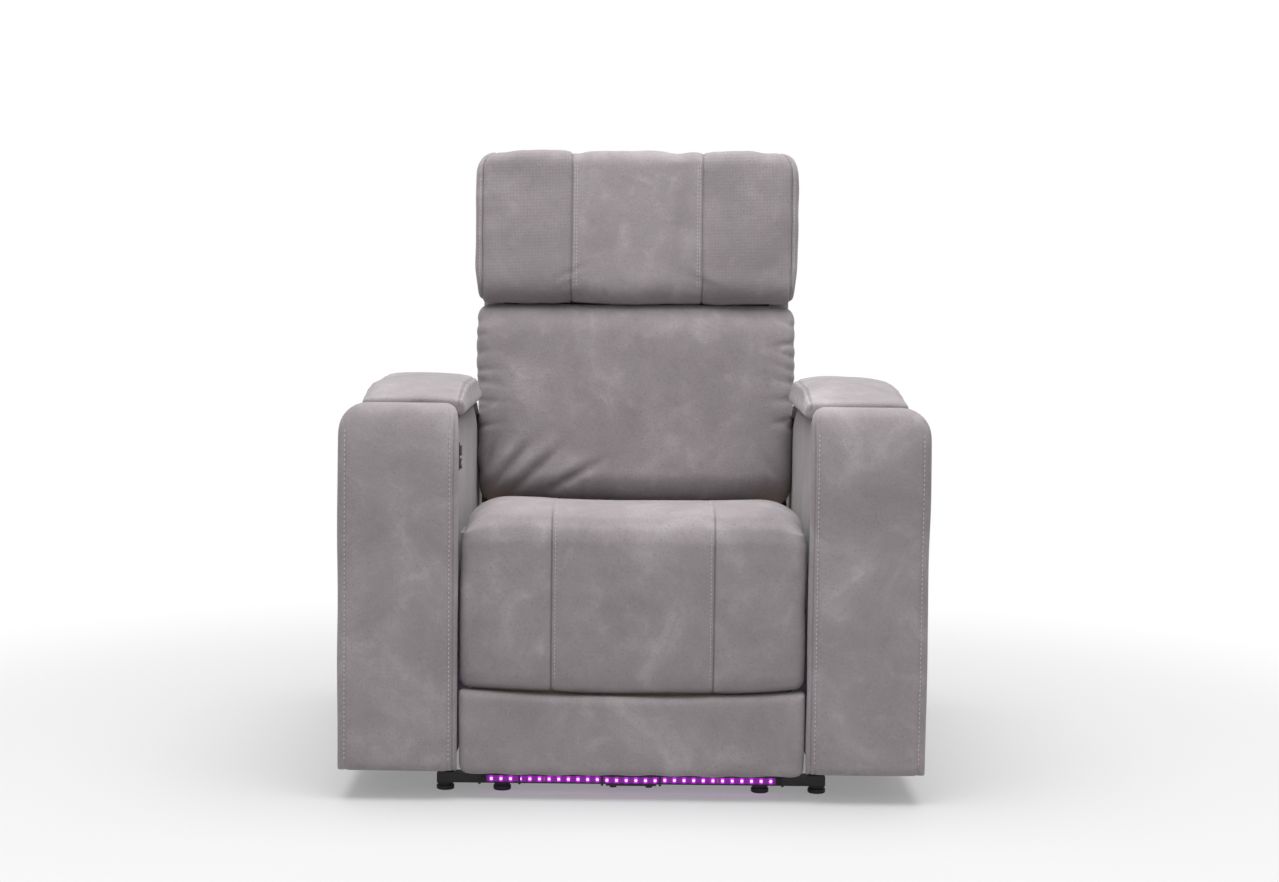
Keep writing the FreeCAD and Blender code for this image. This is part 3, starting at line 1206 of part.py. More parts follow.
def make_headrest():
    front = float(s.head_front)
    rear = float(s.head_rear)
    half = float(head_half)
    low = float(s.head_bottom)
    top = float(s.head_top)
    radius = (front - rear) / 2
    middle = (front + rear) / 2
    seam = float(s.head_seam_out)
    dip = float(s.head_seam_depth)
    bend = float(s.head_top_bend)
    turn = float(s.head_top_turn)
    sections = []
    # the lower edge is a round roll about the ratchet's pin
    for share, draw_in in ((0.12, 16), (0.4, 7), (0.75, 2), (1.0, 0)):
        z = low + radius * share
        reach = math.sqrt(radius ** 2 - (radius * (1 - share)) ** 2)
        near = middle + reach
        far = middle - reach
        edges = crowned_section(half - draw_in, far, max(near - 12, far + 4), near, seam, dip * share, 1)
        sections.append((edges, across_front(z)))
    for z, draw_in, drop in (((low + radius + top) / 2, 3, 0), (top - bend, 0, 3), (top - turn, 2, 9),
                             (top - 7, 8, 20), (top, 20, 38)):
        edges = crowned_section(half - draw_in, rear, front - drop - 12, front - drop, seam, dip, 1)
        sections.append((edges, across_front(z)))
    shape = soft_loft(sections)
    board_back = -(rear + 2)
    board_low = float(s.head_bottom + s.head_round) + float(s.ratchet_rise)
    board_top = top - float(s.head_board_top)
    board_half = half - float(s.head_board_inset)
    pocket_box = Part.makeBox(2 * board_half + 0.6, float(s.head_board) + 3, board_top - board_low + 0.6)
    pocket_box.translate(Vector(-board_half - 0.3, board_back - float(s.head_board) - 0.3, board_low - 0.3))
    shape = shape.cut(pocket_box)
    hinge_up = low + float(s.head_round)
    slot_inner = float(s.ratchet_out - s.ratchet_foot) - 2
    slot_outer = float(s.ratchet_out + 2 * s.ratchet_sheet + s.ratchet_gap) + 3
    for side in (-1, 1):
        slot = Part.makeBox(slot_outer - slot_inner, middle + 14, hinge_up - low + float(s.hinge_slot_rise))
        slot.translate(Vector(min(side * slot_inner, side * slot_outer), -middle - 13, low - 30))
        shape = shape.cut(slot)
    soft_lean("headrest_cushion", shape)
    board_reach = head_half - s.head_board_inset
    board_foot = s.head_bottom + s.head_round + s.ratchet_rise
    board_face = -(s.head_rear + s.link_gap) - s.head_board
    board = box("headrest_board_panel", -board_reach, board_face, board_foot, 2 * board_reach, s.head_board,
                s.head_top - s.head_board_top - board_foot)
    keep("headrest_board", lean_back(group("headrest_board", [board])))
    pieces = []
    pivot = -(s.head_front + s.head_rear) / 2
    up = s.head_bottom + s.head_round
    face = board_face
    rim = s.ratchet_rim
    for side in (-1, 1):
        tag = side_name(side)
        low_x = side_low(side, s.ratchet_out, s.ratchet_out + s.ratchet_sheet)
        corners = [(pivot - rim, up - rim), (pivot + rim, up - rim), (face, up + s.ratchet_rise),
                   (face, up + s.ratchet_rise + s.ratchet_foot_height), (pivot - rim, up + 2 * rim)]
        leaf = sheet_plate(f"headrest_leaf_{tag}", low_x, corners, s.ratchet_sheet,
                           [(pivot, up, s.ratchet_pin + s.pin_play)],
                           [(0, rim - 1), (1, rim - 1)])
        foot = side_box(f"headrest_foot_{tag}", side, s.ratchet_out - s.ratchet_foot, s.ratchet_out + s.ratchet_sheet,
                        face - s.ratchet_sheet, up + s.ratchet_rise, s.ratchet_sheet,
                        s.ratchet_foot_height)
        pieces.append(fuse(f"headrest_hinge_{tag}", [leaf, foot]))
    keep("headrest_hinges", lean_back(group("headrest_hinges", pieces)))


make_base()
make_carrier_brackets()
make_carrier("front", front_foot_pivot, front_seat_pivot, False)
make_carrier("rear", rear_foot_pivot, rear_seat_pivot, True)
make_front_bracket()
make_drives()
make_lights()
make_seat_plates()
make_seat_box()
make_seat_cushion()
make_footrest()
make_links()
make_back_links()
for side in (-1, 1):
    make_arm(side)
both("arm_inner_panels", make_inner_panel)
both("arm_hinge_leaves", make_fixed_leaf)
make_controls()
make_back()
make_back_cushion()
make_headrest()
doc.recompute()

# Nothing is written unless every object computed and every sub-part is a sound solid
failed = [thing.Name for thing in doc.Objects if {"Invalid", "Error"} & set(thing.State)]
unsound = [name for name, thing in nodes.items()
           if thing.Shape.isNull() or not thing.Shape.isValid() or not thing.Shape.Solids]
if failed or unsound:
    raise SystemExit(f"failed {failed} unsound {unsound}")
os.makedirs("parts", exist_ok=True)
for name, thing in nodes.items():
    thing.Shape.exportStep(f"parts/{name}.step")
print(len(nodes), "nodes written")
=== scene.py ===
import bpy
import bmesh
import math
import numpy as np
from mathutils import Matrix, Vector
from mathutils.bvhtree import BVHTree


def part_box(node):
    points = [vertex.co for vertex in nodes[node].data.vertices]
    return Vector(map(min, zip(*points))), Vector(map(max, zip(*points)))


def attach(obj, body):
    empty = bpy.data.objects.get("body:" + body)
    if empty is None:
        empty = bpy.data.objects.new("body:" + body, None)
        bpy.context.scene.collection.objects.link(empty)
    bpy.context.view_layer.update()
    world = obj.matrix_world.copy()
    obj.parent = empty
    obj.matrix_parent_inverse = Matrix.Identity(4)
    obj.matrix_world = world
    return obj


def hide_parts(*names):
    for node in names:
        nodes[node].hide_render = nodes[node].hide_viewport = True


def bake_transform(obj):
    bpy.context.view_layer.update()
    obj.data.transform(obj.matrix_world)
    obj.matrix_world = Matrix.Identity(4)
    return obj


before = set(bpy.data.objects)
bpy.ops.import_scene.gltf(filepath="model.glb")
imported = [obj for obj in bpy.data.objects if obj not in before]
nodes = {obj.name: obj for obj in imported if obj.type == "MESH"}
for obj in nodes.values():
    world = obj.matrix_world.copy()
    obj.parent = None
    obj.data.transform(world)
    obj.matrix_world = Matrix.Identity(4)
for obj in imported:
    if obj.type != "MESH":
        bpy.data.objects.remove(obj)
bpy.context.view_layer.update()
scene = bpy.context.scene
scene.view_settings.view_transform = "Standard"
halfDepth = 0.47


def atDepth(depth):  # depth behind the front plane of the arms, in mm, to the row frame in metres
    return depth / 1000 - halfDepth


# Camera: long lens, a little above the seat, looking slightly down

cameraLook = {"ahead": 3.9, "height": 0.924, "down": 4.5, "right": 0.115, "roll": 0.65, "lens": 65.87}


def makeCamera(look):
    data = bpy.data.cameras.new("portraitCamera")
    data.lens = look["lens"]
    data.sensor_width = 36
    data.clip_end = 60
    camera = bpy.data.objects.new("portraitCamera", data)
    scene.collection.objects.link(camera)
    turn = (Matrix.Rotation(math.radians(-look["right"]), 4, "Z")
            @ Matrix.Rotation(math.radians(90 - look["down"]), 4, "X")
            @ Matrix.Rotation(math.radians(look["roll"]), 4, "Z"))
    camera.matrix_world = Matrix.Translation((0, -halfDepth - look["ahead"], look["height"])) @ turn
    scene.camera = camera


makeCamera(cameraLook)
print("camera set")


# Shader maths: a socket that takes part in Python expressions

class Wire:
    def __init__(self, surface, socket):
        self.surface = surface
        self.socket = socket

    def math(self, operation, *values):
        return self.surface.node("ShaderNodeMath", {"operation": operation}, dict(enumerate(values)))

    def __add__(self, other):
        return self.math("ADD", self, other)

    def __radd__(self, other):
        return self.math("ADD", other, self)

    def __sub__(self, other):
        return self.math("SUBTRACT", self, other)

    def __rsub__(self, other):
        return self.math("SUBTRACT", other, self)

    def __mul__(self, other):
        return self.math("MULTIPLY", self, other)

    def __rmul__(self, other):
        return self.math("MULTIPLY", other, self)

    def __truediv__(self, other):
        return self.math("DIVIDE", self, other)

    def __pow__(self, other):
        return self.math("POWER", self, other)

    def sine(self):
        return self.math("SINE", self)

    def ramp(self, low, high):  # 0 below low, 1 above high, smooth between
        return self.surface.node("ShaderNodeMapRange", {"interpolation_type": "SMOOTHSTEP"},
                                 {"Value": self, "From Min": low, "From Max": high})


class Surface:
    def __init__(self, name, **look):
        self.material = bpy.data.materials.new(name)
        self.material.use_nodes = True
        self.tree = self.material.node_tree
        self.shader = self.tree.nodes["Principled BSDF"]
        self.place = self.node("ShaderNodeTexCoord", {}, {}, "Object")
        for key, value in look.items():
            self.shader.inputs[key.replace("_", " ")].default_value = value

    def node(self, kind, settings, values, output=0):
        made = self.tree.nodes.new(kind)
        for key, value in settings.items():
            setattr(made, key, value)
        for key, value in values.items():
            self.feed(made.inputs[key], value)
        return Wire(self, made.outputs[output])

    def feed(self, socket, value):
        if isinstance(value, Wire):
            self.tree.links.new(value.socket, socket)
        else:
            socket.default_value = value

    def set(self, **values):
        for key, value in values.items():
            self.feed(self.shader.inputs[key.replace("_", " ")], value)

    def stretched(self, stretch):
        if not stretch:
            return self.place
        return self.node("ShaderNodeMapping", {}, {"Vector": self.place, "Scale": stretch})

    def noise(self, scale, detail=2, rough=0.5, twist=0, stretch=None):
        values = {"Vector": self.stretched(stretch), "Scale": scale, "Detail": detail}
        return self.node("ShaderNodeTexNoise", {}, {**values, "Roughness": rough, "Distortion": twist})

    def cells(self, scale, stretch=None):
        return self.node("ShaderNodeTexVoronoi", {}, {"Vector": self.stretched(stretch), "Scale": scale})

    def axes(self):
        made = self.tree.nodes.new("ShaderNodeSeparateXYZ")
        self.tree.links.new(self.place.socket, made.inputs[0])
        return [Wire(self, made.outputs[i]) for i in range(3)]

    def mark(self, name):  # a value that a piece carries at its points
        return self.node("ShaderNodeAttribute", {"attribute_name": name}, {}, "Fac")

    def colour(self, share, first, second):
        made = self.tree.nodes.new("ShaderNodeMix")
        made.data_type = "RGBA"
        self.feed(made.inputs[0], share)
        self.feed(made.inputs[6], first if isinstance(first, Wire) else (*first, 1))
        self.feed(made.inputs[7], second if isinstance(second, Wire) else (*second, 1))
        return Wire(self, made.outputs[2])

    def bump(self, height, depth, strength=1.0):
        return self.node("ShaderNodeBump", {}, {"Height": height, "Distance": depth, "Strength": strength})


# Materials

# seam is a painted shade colour: the cloth darkens towards it along the seam grooves
suedeLook = {"base": (0.262, 0.237, 0.246), "pale": (0.385, 0.353, 0.368), "dark": (0.192, 0.172, 0.179),
             "seam": (0.075, 0.065, 0.070), "cloud": 6.5, "patch": 24.0, "grain": 700.0, "pebble": 260.0,
             "dots": 1150.0}


def suedeCloth(name, look, woven=False):
    cloth = Surface(name, Roughness=0.86, Sheen_Weight=0.22, Sheen_Roughness=0.45, Specular_IOR_Level=0.22)
    cloud = cloth.noise(look["cloud"], 4, 0.62, 0.7)
    patch = cloth.noise(look["patch"], 3, 0.55, 0.4)
    nap = cloth.noise(look["grain"], 2, 0.6)
    pebble = cloth.noise(look["pebble"], 2, 0.5)
    colour = cloth.colour(cloud.ramp(0.46, 0.76) * 0.66 + patch.ramp(0.50, 0.78) * 0.40,
                          look["base"], look["pale"])
    colour = cloth.colour(cloud.ramp(0.50, 0.28) * 0.40 + patch.ramp(0.46, 0.22) * 0.30, colour, look["dark"])
    speck = (nap - 0.5) * 0.9 + (pebble - 0.5) * 1.1
    colour = cloth.colour(speck.ramp(-0.05, -0.40) * 0.75, colour, look["dark"])
    colour = cloth.colour(speck.ramp(0.06, 0.50) * 0.42, colour, look["pale"])
    height = pebble * 0.6 + nap * 0.4
    if woven:
        across, _, up = cloth.axes()
        first = ((across + up) * look["dots"]).sine()
        second = ((across - up) * look["dots"]).sine()
        dots = (first * second).ramp(0.10, 0.70)
        colour = cloth.colour(dots * 0.85, colour, look["dark"])
        height = height - dots * 0.9
    # painted shade along the seams: the piece's seam value darkens the cloth towards the seam colour
    colour = cloth.colour(cloth.mark("seam").ramp(0.0, 1.0) * 0.85, colour, look["seam"])
    cloth.set(Base_Color=colour, Roughness=0.80 + patch * 0.14)
    cloth.set(Normal=cloth.bump(height, 0.0011, strength=0.7))
    return cloth.material


def threadYarn():
    yarn = Surface("paleThread", Roughness=0.7, Sheen_Weight=0.15)
    ply = ((yarn.axes()[2] * 3000.0) + (yarn.axes()[0] * 2200.0)).sine()
    yarn.set(Base_Color=yarn.colour(ply.ramp(-0.6, 0.8), (0.40, 0.37, 0.38), (0.60, 0.57, 0.58)))
    yarn.set(Normal=yarn.bump(ply, 0.0002, strength=0.5))
    return yarn.material


def coatedSteel(name, base, rough):
    steel = Surface(name, Specular_IOR_Level=0.45)
    peel = steel.noise(420, 2, 0.5)
    dust = steel.noise(14, 4, 0.6, 0.3)
    dusty = tuple(min(1, c * 2.1 + 0.006) for c in base)
    steel.set(Base_Color=steel.colour(dust.ramp(0.45, 0.8) * 0.5, base, dusty))
    steel.set(Roughness=rough + dust * 0.14, Normal=steel.bump(peel, 0.00015, strength=0.35))
    return steel.material


def platedSteel(name, base, rough, stretch):
    steel = Surface(name, Metallic=1.0)
    brushed = steel.noise(300, 3, 0.6, 0, stretch)
    tone = steel.noise(22, 3, 0.55, 0.6)
    steel.set(Base_Color=steel.colour(tone.ramp(0.35, 0.75), base, tuple(c * 0.78 for c in base)))
    steel.set(Roughness=rough + brushed * 0.18 + tone * 0.06)
    steel.set(Normal=steel.bump(brushed, 0.0001, strength=0.4))
    return steel.material


def mouldedPlastic(name, base, rough, texture=520.0, lift=0.0002):
    plastic = Surface(name, Specular_IOR_Level=0.45)
    skin = plastic.noise(texture, 2, 0.6)
    cloud = plastic.noise(18, 3, 0.5)
    worn = tuple(c * 1.5 + 0.004 for c in base)
    plastic.set(Base_Color=plastic.colour(cloud.ramp(0.35, 0.8) * 0.6, base, worn))
    plastic.set(Roughness=rough + cloud * 0.12, Normal=plastic.bump(skin, lift, strength=0.4))
    return plastic.material


def birchPly():
    ply = Surface("birchPly", Roughness=0.62, Specular_IOR_Level=0.3)
    grain = ply.noise(9, 5, 0.62, 0.5, (1, 0.08, 1))
    fibre = ply.noise(160, 3, 0.6, 0, (1, 0.04, 1))
    knots = ply.cells(7, (1, 0.4, 1))
    layers = (ply.axes()[2] * 4200.0).sine()
    colour = ply.colour(grain.ramp(0.35, 0.70), (0.70, 0.53, 0.34), (0.50, 0.34, 0.19))
    colour = ply.colour(knots.ramp(0.10, 0.02) * 0.5, colour, (0.26, 0.15, 0.08))
    colour = ply.colour(fibre.ramp(0.45, 0.75) * 0.28 + layers.ramp(0.75, 1.0) * 0.08, colour,
                        (0.36, 0.23, 0.12))
    colour = ply.colour(ply.axes()[2].ramp(0.075, 0.060), colour, (0.085, 0.082, 0.086))  # darker, near black, below about 6 to 7.5 cm
    ply.set(Base_Color=colour, Roughness=0.55 + fibre * 0.2, Normal=ply.bump(fibre, 0.0003, strength=0.4))
    return ply.material


def wovenWebbing():
    web = Surface("blackWebbing", Roughness=0.8, Sheen_Weight=0.1)
    across, deep, _ = web.axes()
    warp = (across * 1900.0).sine()
    weft = (deep * 1700.0).sine()
    band = (across * 262.0).sine().ramp(0.72, 0.92)
    colour = web.colour((warp * weft).ramp(-0.3, 0.8), (0.030, 0.030, 0.033), (0.090, 0.090, 0.096))
    web.set(Base_Color=web.colour(band * 0.7, colour, (0.28, 0.07, 0.06)))
    web.set(Normal=web.bump(warp * weft, 0.0005, strength=0.7))
    return web.material


def binLining():
    lining = Surface("binLining", Roughness=0.9, Sheen_Weight=0.3, Sheen_Roughness=0.4)
    flock = lining.noise(1200, 2, 0.6)
    cloud = lining.noise(20, 3, 0.5)
    lining.set(Base_Color=lining.colour(flock.ramp(0.35, 0.75) * 0.5 + cloud * 0.2, (0.026, 0.025, 0.028),
                                        (0.075, 0.072, 0.078)))
    lining.set(Normal=lining.bump(flock, 0.0004, strength=0.6))
    return lining.material


def litTape():
    tape = Surface("lightTape", Roughness=0.38, Specular_IOR_Level=0.5, Emission_Strength=1.0)
    across, _, up = tape.axes()
    pitch = 2 * math.pi / 0.016667  # one diode to the next
    phase = (across * pitch).math("COSINE", across * pitch)  # 1 halfway between two diodes, -1 on a diode
    beam = phase.ramp(0.2, -1.0)
    tracks = (up * 2600.0 + 0.6).sine()
    colour = tape.colour(tracks.ramp(0.2, 0.8) * 0.5, (0.045, 0.008, 0.070), (0.12, 0.030, 0.16))
    tape.set(Base_Color=colour)
    # painted glow: the tape's own surface glows, brightest round each diode, as the diodes' halo
    glow = tape.colour(beam, (0.130, 0.000, 0.170), (0.62, 0.015, 0.85))
    tape.set(Emission_Color=glow)
    return tape.material


def litDiode(name, core, strength):
    lamp = Surface(name, Roughness=0.25, Emission_Strength=strength)
    cloud = lamp.noise(900, 1, 0.5)
    lamp.set(Base_Color=lamp.colour(cloud, (0.8, 0.6, 0.9), (0.9, 0.75, 0.95)))
    lamp.set(Emission_Color=lamp.colour(cloud.ramp(0.3, 0.7), core, tuple(min(1, c * 1.1) for c in core)))
    return lamp.material


finish = {
    "suede": suedeCloth("mauveSuede", suedeLook),
    "suedeWoven": suedeCloth("mauveSuedeWoven", suedeLook, True),
    "thread": threadYarn(),
    "blackSteel": coatedSteel("blackPowderCoat", (0.012, 0.012, 0.013), 0.38),
    "zinc": platedSteel("brightZinc", (0.60, 0.60, 0.58), 0.26, (1, 0.1, 0.1)),
    "rod": platedSteel("polishedRod", (0.78, 0.78, 0.80), 0.10, (1, 0.05, 1)),
    "case": mouldedPlastic("driveCase", (0.022, 0.022, 0.024), 0.48),
    "foot": mouldedPlastic("footPlastic", (0.010, 0.010, 0.011), 0.55),
    "ply": birchPly(),
    "webbing": wovenWebbing(),
    "lining": binLining(),
    "bezel": mouldedPlastic("controlBezel", (0.016, 0.014, 0.014), 0.16, 60, 0.00005),
    "rocker": mouldedPlastic("controlRocker", (0.060, 0.042, 0.034), 0.34),
    "ring": platedSteel("brightRing", (0.86, 0.86, 0.88), 0.07, (1, 1, 1)),
    "tape": litTape(),
    "diode": litDiode("violetDiode", (0.92, 0.42, 1.0), 4.5),
    "nylon": mouldedPlastic("blackNylon", (0.009, 0.009, 0.010), 0.42),
    "leadTape": mouldedPlastic("leadTape", (0.012, 0.011, 0.012), 0.6, 260, 0.0005),
}

nodeFinish = {
    "blackSteel": ["base_cross_tubes", "base_rails", "arm_brackets", "carrier_brackets", "actuator_bracket",
                   "seat_plate_left", "seat_plate_right", "seat_cross_tubes", "footrest_brackets",
                   "carrier_front", "carrier_rear", "back_frame"],
    "zinc": ["main_links", "main_coupler_left", "main_coupler_right", "second_link_left",
             "second_link_right", "second_coupler_left", "second_coupler_right", "back_link_left",
             "back_link_right", "headrest_hinges", "arm_hinge_leaves", "lid_hinge_left", "lid_hinge_right"],
    "rod": ["footrest_slider", "recline_slider"],
    "case": ["footrest_actuator", "recline_actuator"],
    "foot": ["feet"],
    "ply": ["arm_frame_left", "arm_frame_right", "lid_board_left", "lid_board_right", "seat_box",
            "footrest_board", "headrest_board"],
    "suede": ["arm_outer_panel_left", "arm_outer_panel_right", "arm_inner_panels", "arm_front_pad_left",
              "arm_front_pad_right", "lid_pad_left", "lid_pad_right", "seat_cushion", "leg_pad",
              "lower_panel", "back_cushion", "back_cover", "headrest_cushion"],
    "webbing": ["seat_webbing"],
    "lining": ["storage_bin_left", "storage_bin_right"],
    "bezel": ["control_plate"],
    "rocker": ["recline_switch", "footrest_switch"],
    "tape": ["led_strip"],
    "diode": ["led_chips"],
    "nylon": ["cable_ties"],
    "leadTape": ["led_leads"],
}
for key, names in nodeFinish.items():
    for name in names:
        nodes[name].data.materials.clear()
        nodes[name].data.materials.append(finish[key])
print("materials made")


# Mesh helpers

def addObject(name, mesh, material):
    mesh.materials.clear()
    mesh.materials.append(material)
    piece = bpy.data.objects.new(name, mesh)
    scene.collection.objects.link(piece)
    for face in mesh.polygons:
        face.use_smooth = True
    return piece


def fromBmesh(name, bm, material):
    bmesh.ops.recalc_face_normals(bm, faces=bm.faces)
    mesh = bpy.data.meshes.new(name)
    bm.to_mesh(mesh)
    bm.free()
    return addObject(name, mesh, material)


def freshPoints(made):
    return [g for g in made["geom"] if isinstance(g, bmesh.types.BMVert)]


def drawOut(bm, face, by):
    made = bmesh.ops.extrude_face_region(bm, geom=[face])
    bmesh.ops.translate(bm, verts=freshPoints(made), vec=by)


def outlineSolid(outline, low, high):  # a (depth mm, height mm) outline drawn out along X
    bm = bmesh.new()
    ring = [bm.verts.new((low / 1000, atDepth(d), z / 1000)) for d, z in outline]
    drawOut(bm, bm.faces.new(ring), ((high - low) / 1000, 0, 0))
    bmesh.ops.recalc_face_normals(bm, faces=bm.faces)
    return bm


def boxSolid(low, high):
    bm = bmesh.new()
    bmesh.ops.create_cube(bm, size=1)
    size = [high[i] - low[i] for i in range(3)]
    bmesh.ops.scale(bm, vec=size, verts=bm.verts)
    bmesh.ops.translate(bm, vec=[(low[i] + high[i]) / 2 for i in range(3)], verts=bm.verts)
    return bm


def bevelEdges(bm, edges, radius, segments=4):
    bmesh.ops.bevel(bm, geom=edges, offset=radius, segments=segments, profile=0.5, affect="EDGES",
                    material=-1)


def runsBack(edge):  # from front to rear
    first, last = edge.verts
    return abs(first.co.x - last.co.x) < 1e-6 and abs(first.co.z - last.co.z) < 1e-6


def bake(piece, kind, **settings):  # one modifier, applied
    modifier = piece.modifiers.new(kind.title(), kind)
    for key, value in settings.items():
        setattr(modifier, key, value)
    bpy.context.view_layer.update()
    mesh = bpy.data.meshes.new_from_object(piece.evaluated_get(bpy.context.evaluated_depsgraph_get()))
    old = piece.data
    materials = [m for m in old.materials]
    piece.modifiers.clear()
    piece.data = mesh
    mesh.materials.clear()
    for material in materials:
        mesh.materials.append(material)
    mesh.name = piece.name
    bpy.data.meshes.remove(old)
    for face in mesh.polygons:
        face.use_smooth = True


def points(piece):
    co = np.empty(len(piece.data.vertices) * 3)
    piece.data.vertices.foreach_get("co", co)
    return co.reshape(-1, 3)


def normals(piece):
    found = np.empty(len(piece.data.vertices) * 3)
    piece.data.vertex_normals.foreach_get("vector", found)
    return found.reshape(-1, 3)


def movePoints(piece, co):
    piece.data.vertices.foreach_set("co", np.ascontiguousarray(co, dtype=float).ravel())
    piece.data.update()


def markPoints(piece, name, value):
    layer = piece.data.attributes.get(name) or piece.data.attributes.new(name, "FLOAT", "POINT")
    layer.data.foreach_set("value", value.astype(np.float32))


def remesh(piece, voxel):
    bake(piece, "REMESH", mode="VOXEL", voxel_size=voxel, use_smooth_shade=True)


def smoothOver(piece, rounds):
    bm = bmesh.new()
    bm.from_mesh(piece.data)
    for _ in range(rounds):
        bmesh.ops.smooth_vert(bm, verts=bm.verts, factor=0.5, use_axis_x=True, use_axis_y=True,
                              use_axis_z=True)
    bm.to_mesh(piece.data)
    bm.free()


def fitTo(piece, axis, low, high):  # stretch so that the piece reaches from low to high along one axis
    co = points(piece)
    least, most = co[:, axis].min(), co[:, axis].max()
    co[:, axis] = low + (co[:, axis] - least) * (high - low) / (most - least)
    movePoints(piece, co)


def fillWidth(piece, reach, low, high):  # out to the same reach at every height between two levels
    co = points(piece)
    across = np.abs(co[:, 0])
    levels = np.linspace(low, high, 30)
    most = np.array([across[np.abs(co[:, 2] - level) < levels[1] - levels[0]].max() for level in levels])
    share = rise(across, 0.72 * reach, 0.95 * reach) * rise(co[:, 2], high + 0.030, high)
    co[:, 0] *= 1 + share * (np.clip(reach / np.interp(co[:, 2], levels, most), 0.97, 1.05) - 1)
    movePoints(piece, co)


def sine(degrees):
    return math.sin(math.radians(degrees))


def cosine(degrees):
    return math.cos(math.radians(degrees))


def hill(value, width):  # 1 at zero, fading over width
    return np.exp(-(value / width) ** 2)


def rise(value, low, high):  # smooth step
    t = np.clip((value - low) / (high - low), 0, 1)
    return t * t * (3 - 2 * t)


def waves(co, seed, length):  # soft uneven field between about -1 and 1
    random = np.random.RandomState(seed)
    total = np.zeros(len(co))
    for _ in range(7):
        heading = random.normal(size=3)
        heading /= np.linalg.norm(heading)
        wave = length * random.uniform(0.7, 1.7)
        total += np.sin(co @ heading * (2 * math.pi / wave) + random.uniform(0, 6.3))
    return total / 3.2


clothLook = {"quality": 4, "mass": 0.25, "tension_stiffness": 22, "compression_stiffness": 22,
             "shear_stiffness": 8, "bending_stiffness": 1.2, "use_pressure": True,
             "vertex_group_mass": "held"}
puffSteps = 20


def puff(piece, pressure, cap, held):  # blown up a little, as a stuffed cover is
    before = points(piece)
    group = piece.vertex_groups.new(name="held")
    weights = held(before)
    for level in (0.25, 0.5, 0.75, 1.0):
        picked = weights > level - 0.2501 if level < 1 else weights > 0.75
        if level < 1:
            picked &= weights <= level
        group.add(np.nonzero(picked)[0].tolist(), level, "REPLACE")
    cloth = piece.modifiers.new("Cloth", "CLOTH")
    for key, value in clothLook.items():
        setattr(cloth.settings, key, value)
    cloth.settings.uniform_pressure_force = pressure
    cloth.settings.effector_weights.gravity = 0
    cloth.collision_settings.use_collision = False
    cloth.point_cache.frame_start = 1
    cloth.point_cache.frame_end = puffSteps
    for step in range(1, puffSteps + 1):
        scene.frame_set(step)
    evaluated = piece.evaluated_get(bpy.context.evaluated_depsgraph_get())
    after = np.empty(len(before) * 3)
    evaluated.data.vertices.foreach_get("co", after)
    after = after.reshape(-1, 3)
    piece.modifiers.clear()
    piece.vertex_groups.clear()
    scene.frame_set(1)
    moved = after - before
    reach = np.linalg.norm(moved, axis=1, keepdims=True) + 1e-9
    moved *= np.minimum(1, cap / reach)
    movePoints(piece, before + moved)
    print("   puffed", piece.name, "furthest", round(float(reach.max()) * 1000, 1), "mm")


def finishCushion(piece, seams, marks):  # one subdivision, then seams and creases along the normals
    bake(piece, "SUBSURF", levels=1, render_levels=1)
    co = points(piece)
    depth = seams(co)
    movePoints(piece, co + normals(piece) * depth[:, None])
    # the marks are painted seam shade, kept as the seam value that darkens the cloth
    markPoints(piece, "seam", np.clip(marks(co), 0, 1))


def unmarked(co):
    return np.zeros(len(co))


def stitchRow(name, paths, stitch=0.0046, pitch=0.0068, thick=0.0009):  # threads laid along paths
    bm = bmesh.new()
    for target, path, toward in paths:
        tree = BVHTree.FromObject(target, bpy.context.evaluated_depsgraph_get())
        path = [Vector(p) for p in path]
        toward = Vector(toward)
        placed = []
        for start, end in zip(path, path[1:]):
            count = max(1, int((end - start).length / pitch))
            for i in range(count):
                placed.append(start.lerp(end, (i + 0.5) / count))
        hits = []
        for spot in placed:
            hits.append(tree.ray_cast(spot - toward * 0.2, toward, 0.5)[:2])
        for i in range(1, len(hits) - 1):
            hit, normal = hits[i]
            if hit is None or hits[i - 1][0] is None or hits[i + 1][0] is None:
                continue
            along = hits[i + 1][0] - hits[i - 1][0]
            if along.length > pitch * 6:
                continue
            along.normalize()
            across = normal.cross(along).normalized()
            turn = Matrix((along, across, normal)).transposed().to_4x4()
            made = bmesh.ops.create_uvsphere(bm, u_segments=6, v_segments=5, radius=0.5)["verts"]
            bmesh.ops.rotate(bm, verts=made, matrix=Matrix.Rotation(math.radians(90), 3, "Y"))
            bmesh.ops.scale(bm, vec=(stitch, thick, thick * 0.8), verts=made)
            bmesh.ops.transform(bm, matrix=Matrix.Translation(hit + normal * thick * 0.12) @ turn, verts=made)
    rows = fromBmesh(name, bm, finish["thread"])
    return rows


def dress(piece, body, replaced=()):
    if body:
        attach(piece, body)
    if replaced:
        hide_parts(*replaced)


# Seat cover: top, rolled nose and leg pad in one cloth

seatCover = {"half": 291, "seam": 0.138, "voxel": 0.006, "pressure": 2.6, "cap": 0.018,
             "outline": [(512, 450), (512, 456), (500, 464), (400, 475), (300, 486), (200, 496), (140, 501),
                         (100, 502), (60, 498), (32, 487), (15, 469), (8, 445), (8, 400), (9, 320), (10, 250),
                         (13, 222), (20, 202), (36, 191), (60, 190), (60, 300), (60, 440), (63, 450),
                         (200, 450), (360, 450)]}


def seatHeld(co):
    across, deep, up = np.abs(co[:, 0]), co[:, 1], co[:, 2]
    under = rise(up, 0.456, 0.450) * rise(deep, atDepth(66), atDepth(76))
    behind = rise(deep, atDepth(54), atDepth(59)) * rise(up, 0.449, 0.444)
    seams = 0.8 * hill(across - seatCover["seam"], 0.006)
    rear = rise(deep, atDepth(498), atDepth(509))
    foot = rise(up, 0.202, 0.195)
    sides = 0.5 * rise(across, 0.281, 0.288)
    return np.clip(np.maximum.reduce([under, behind, seams, rear, foot, sides]), 0, 1)


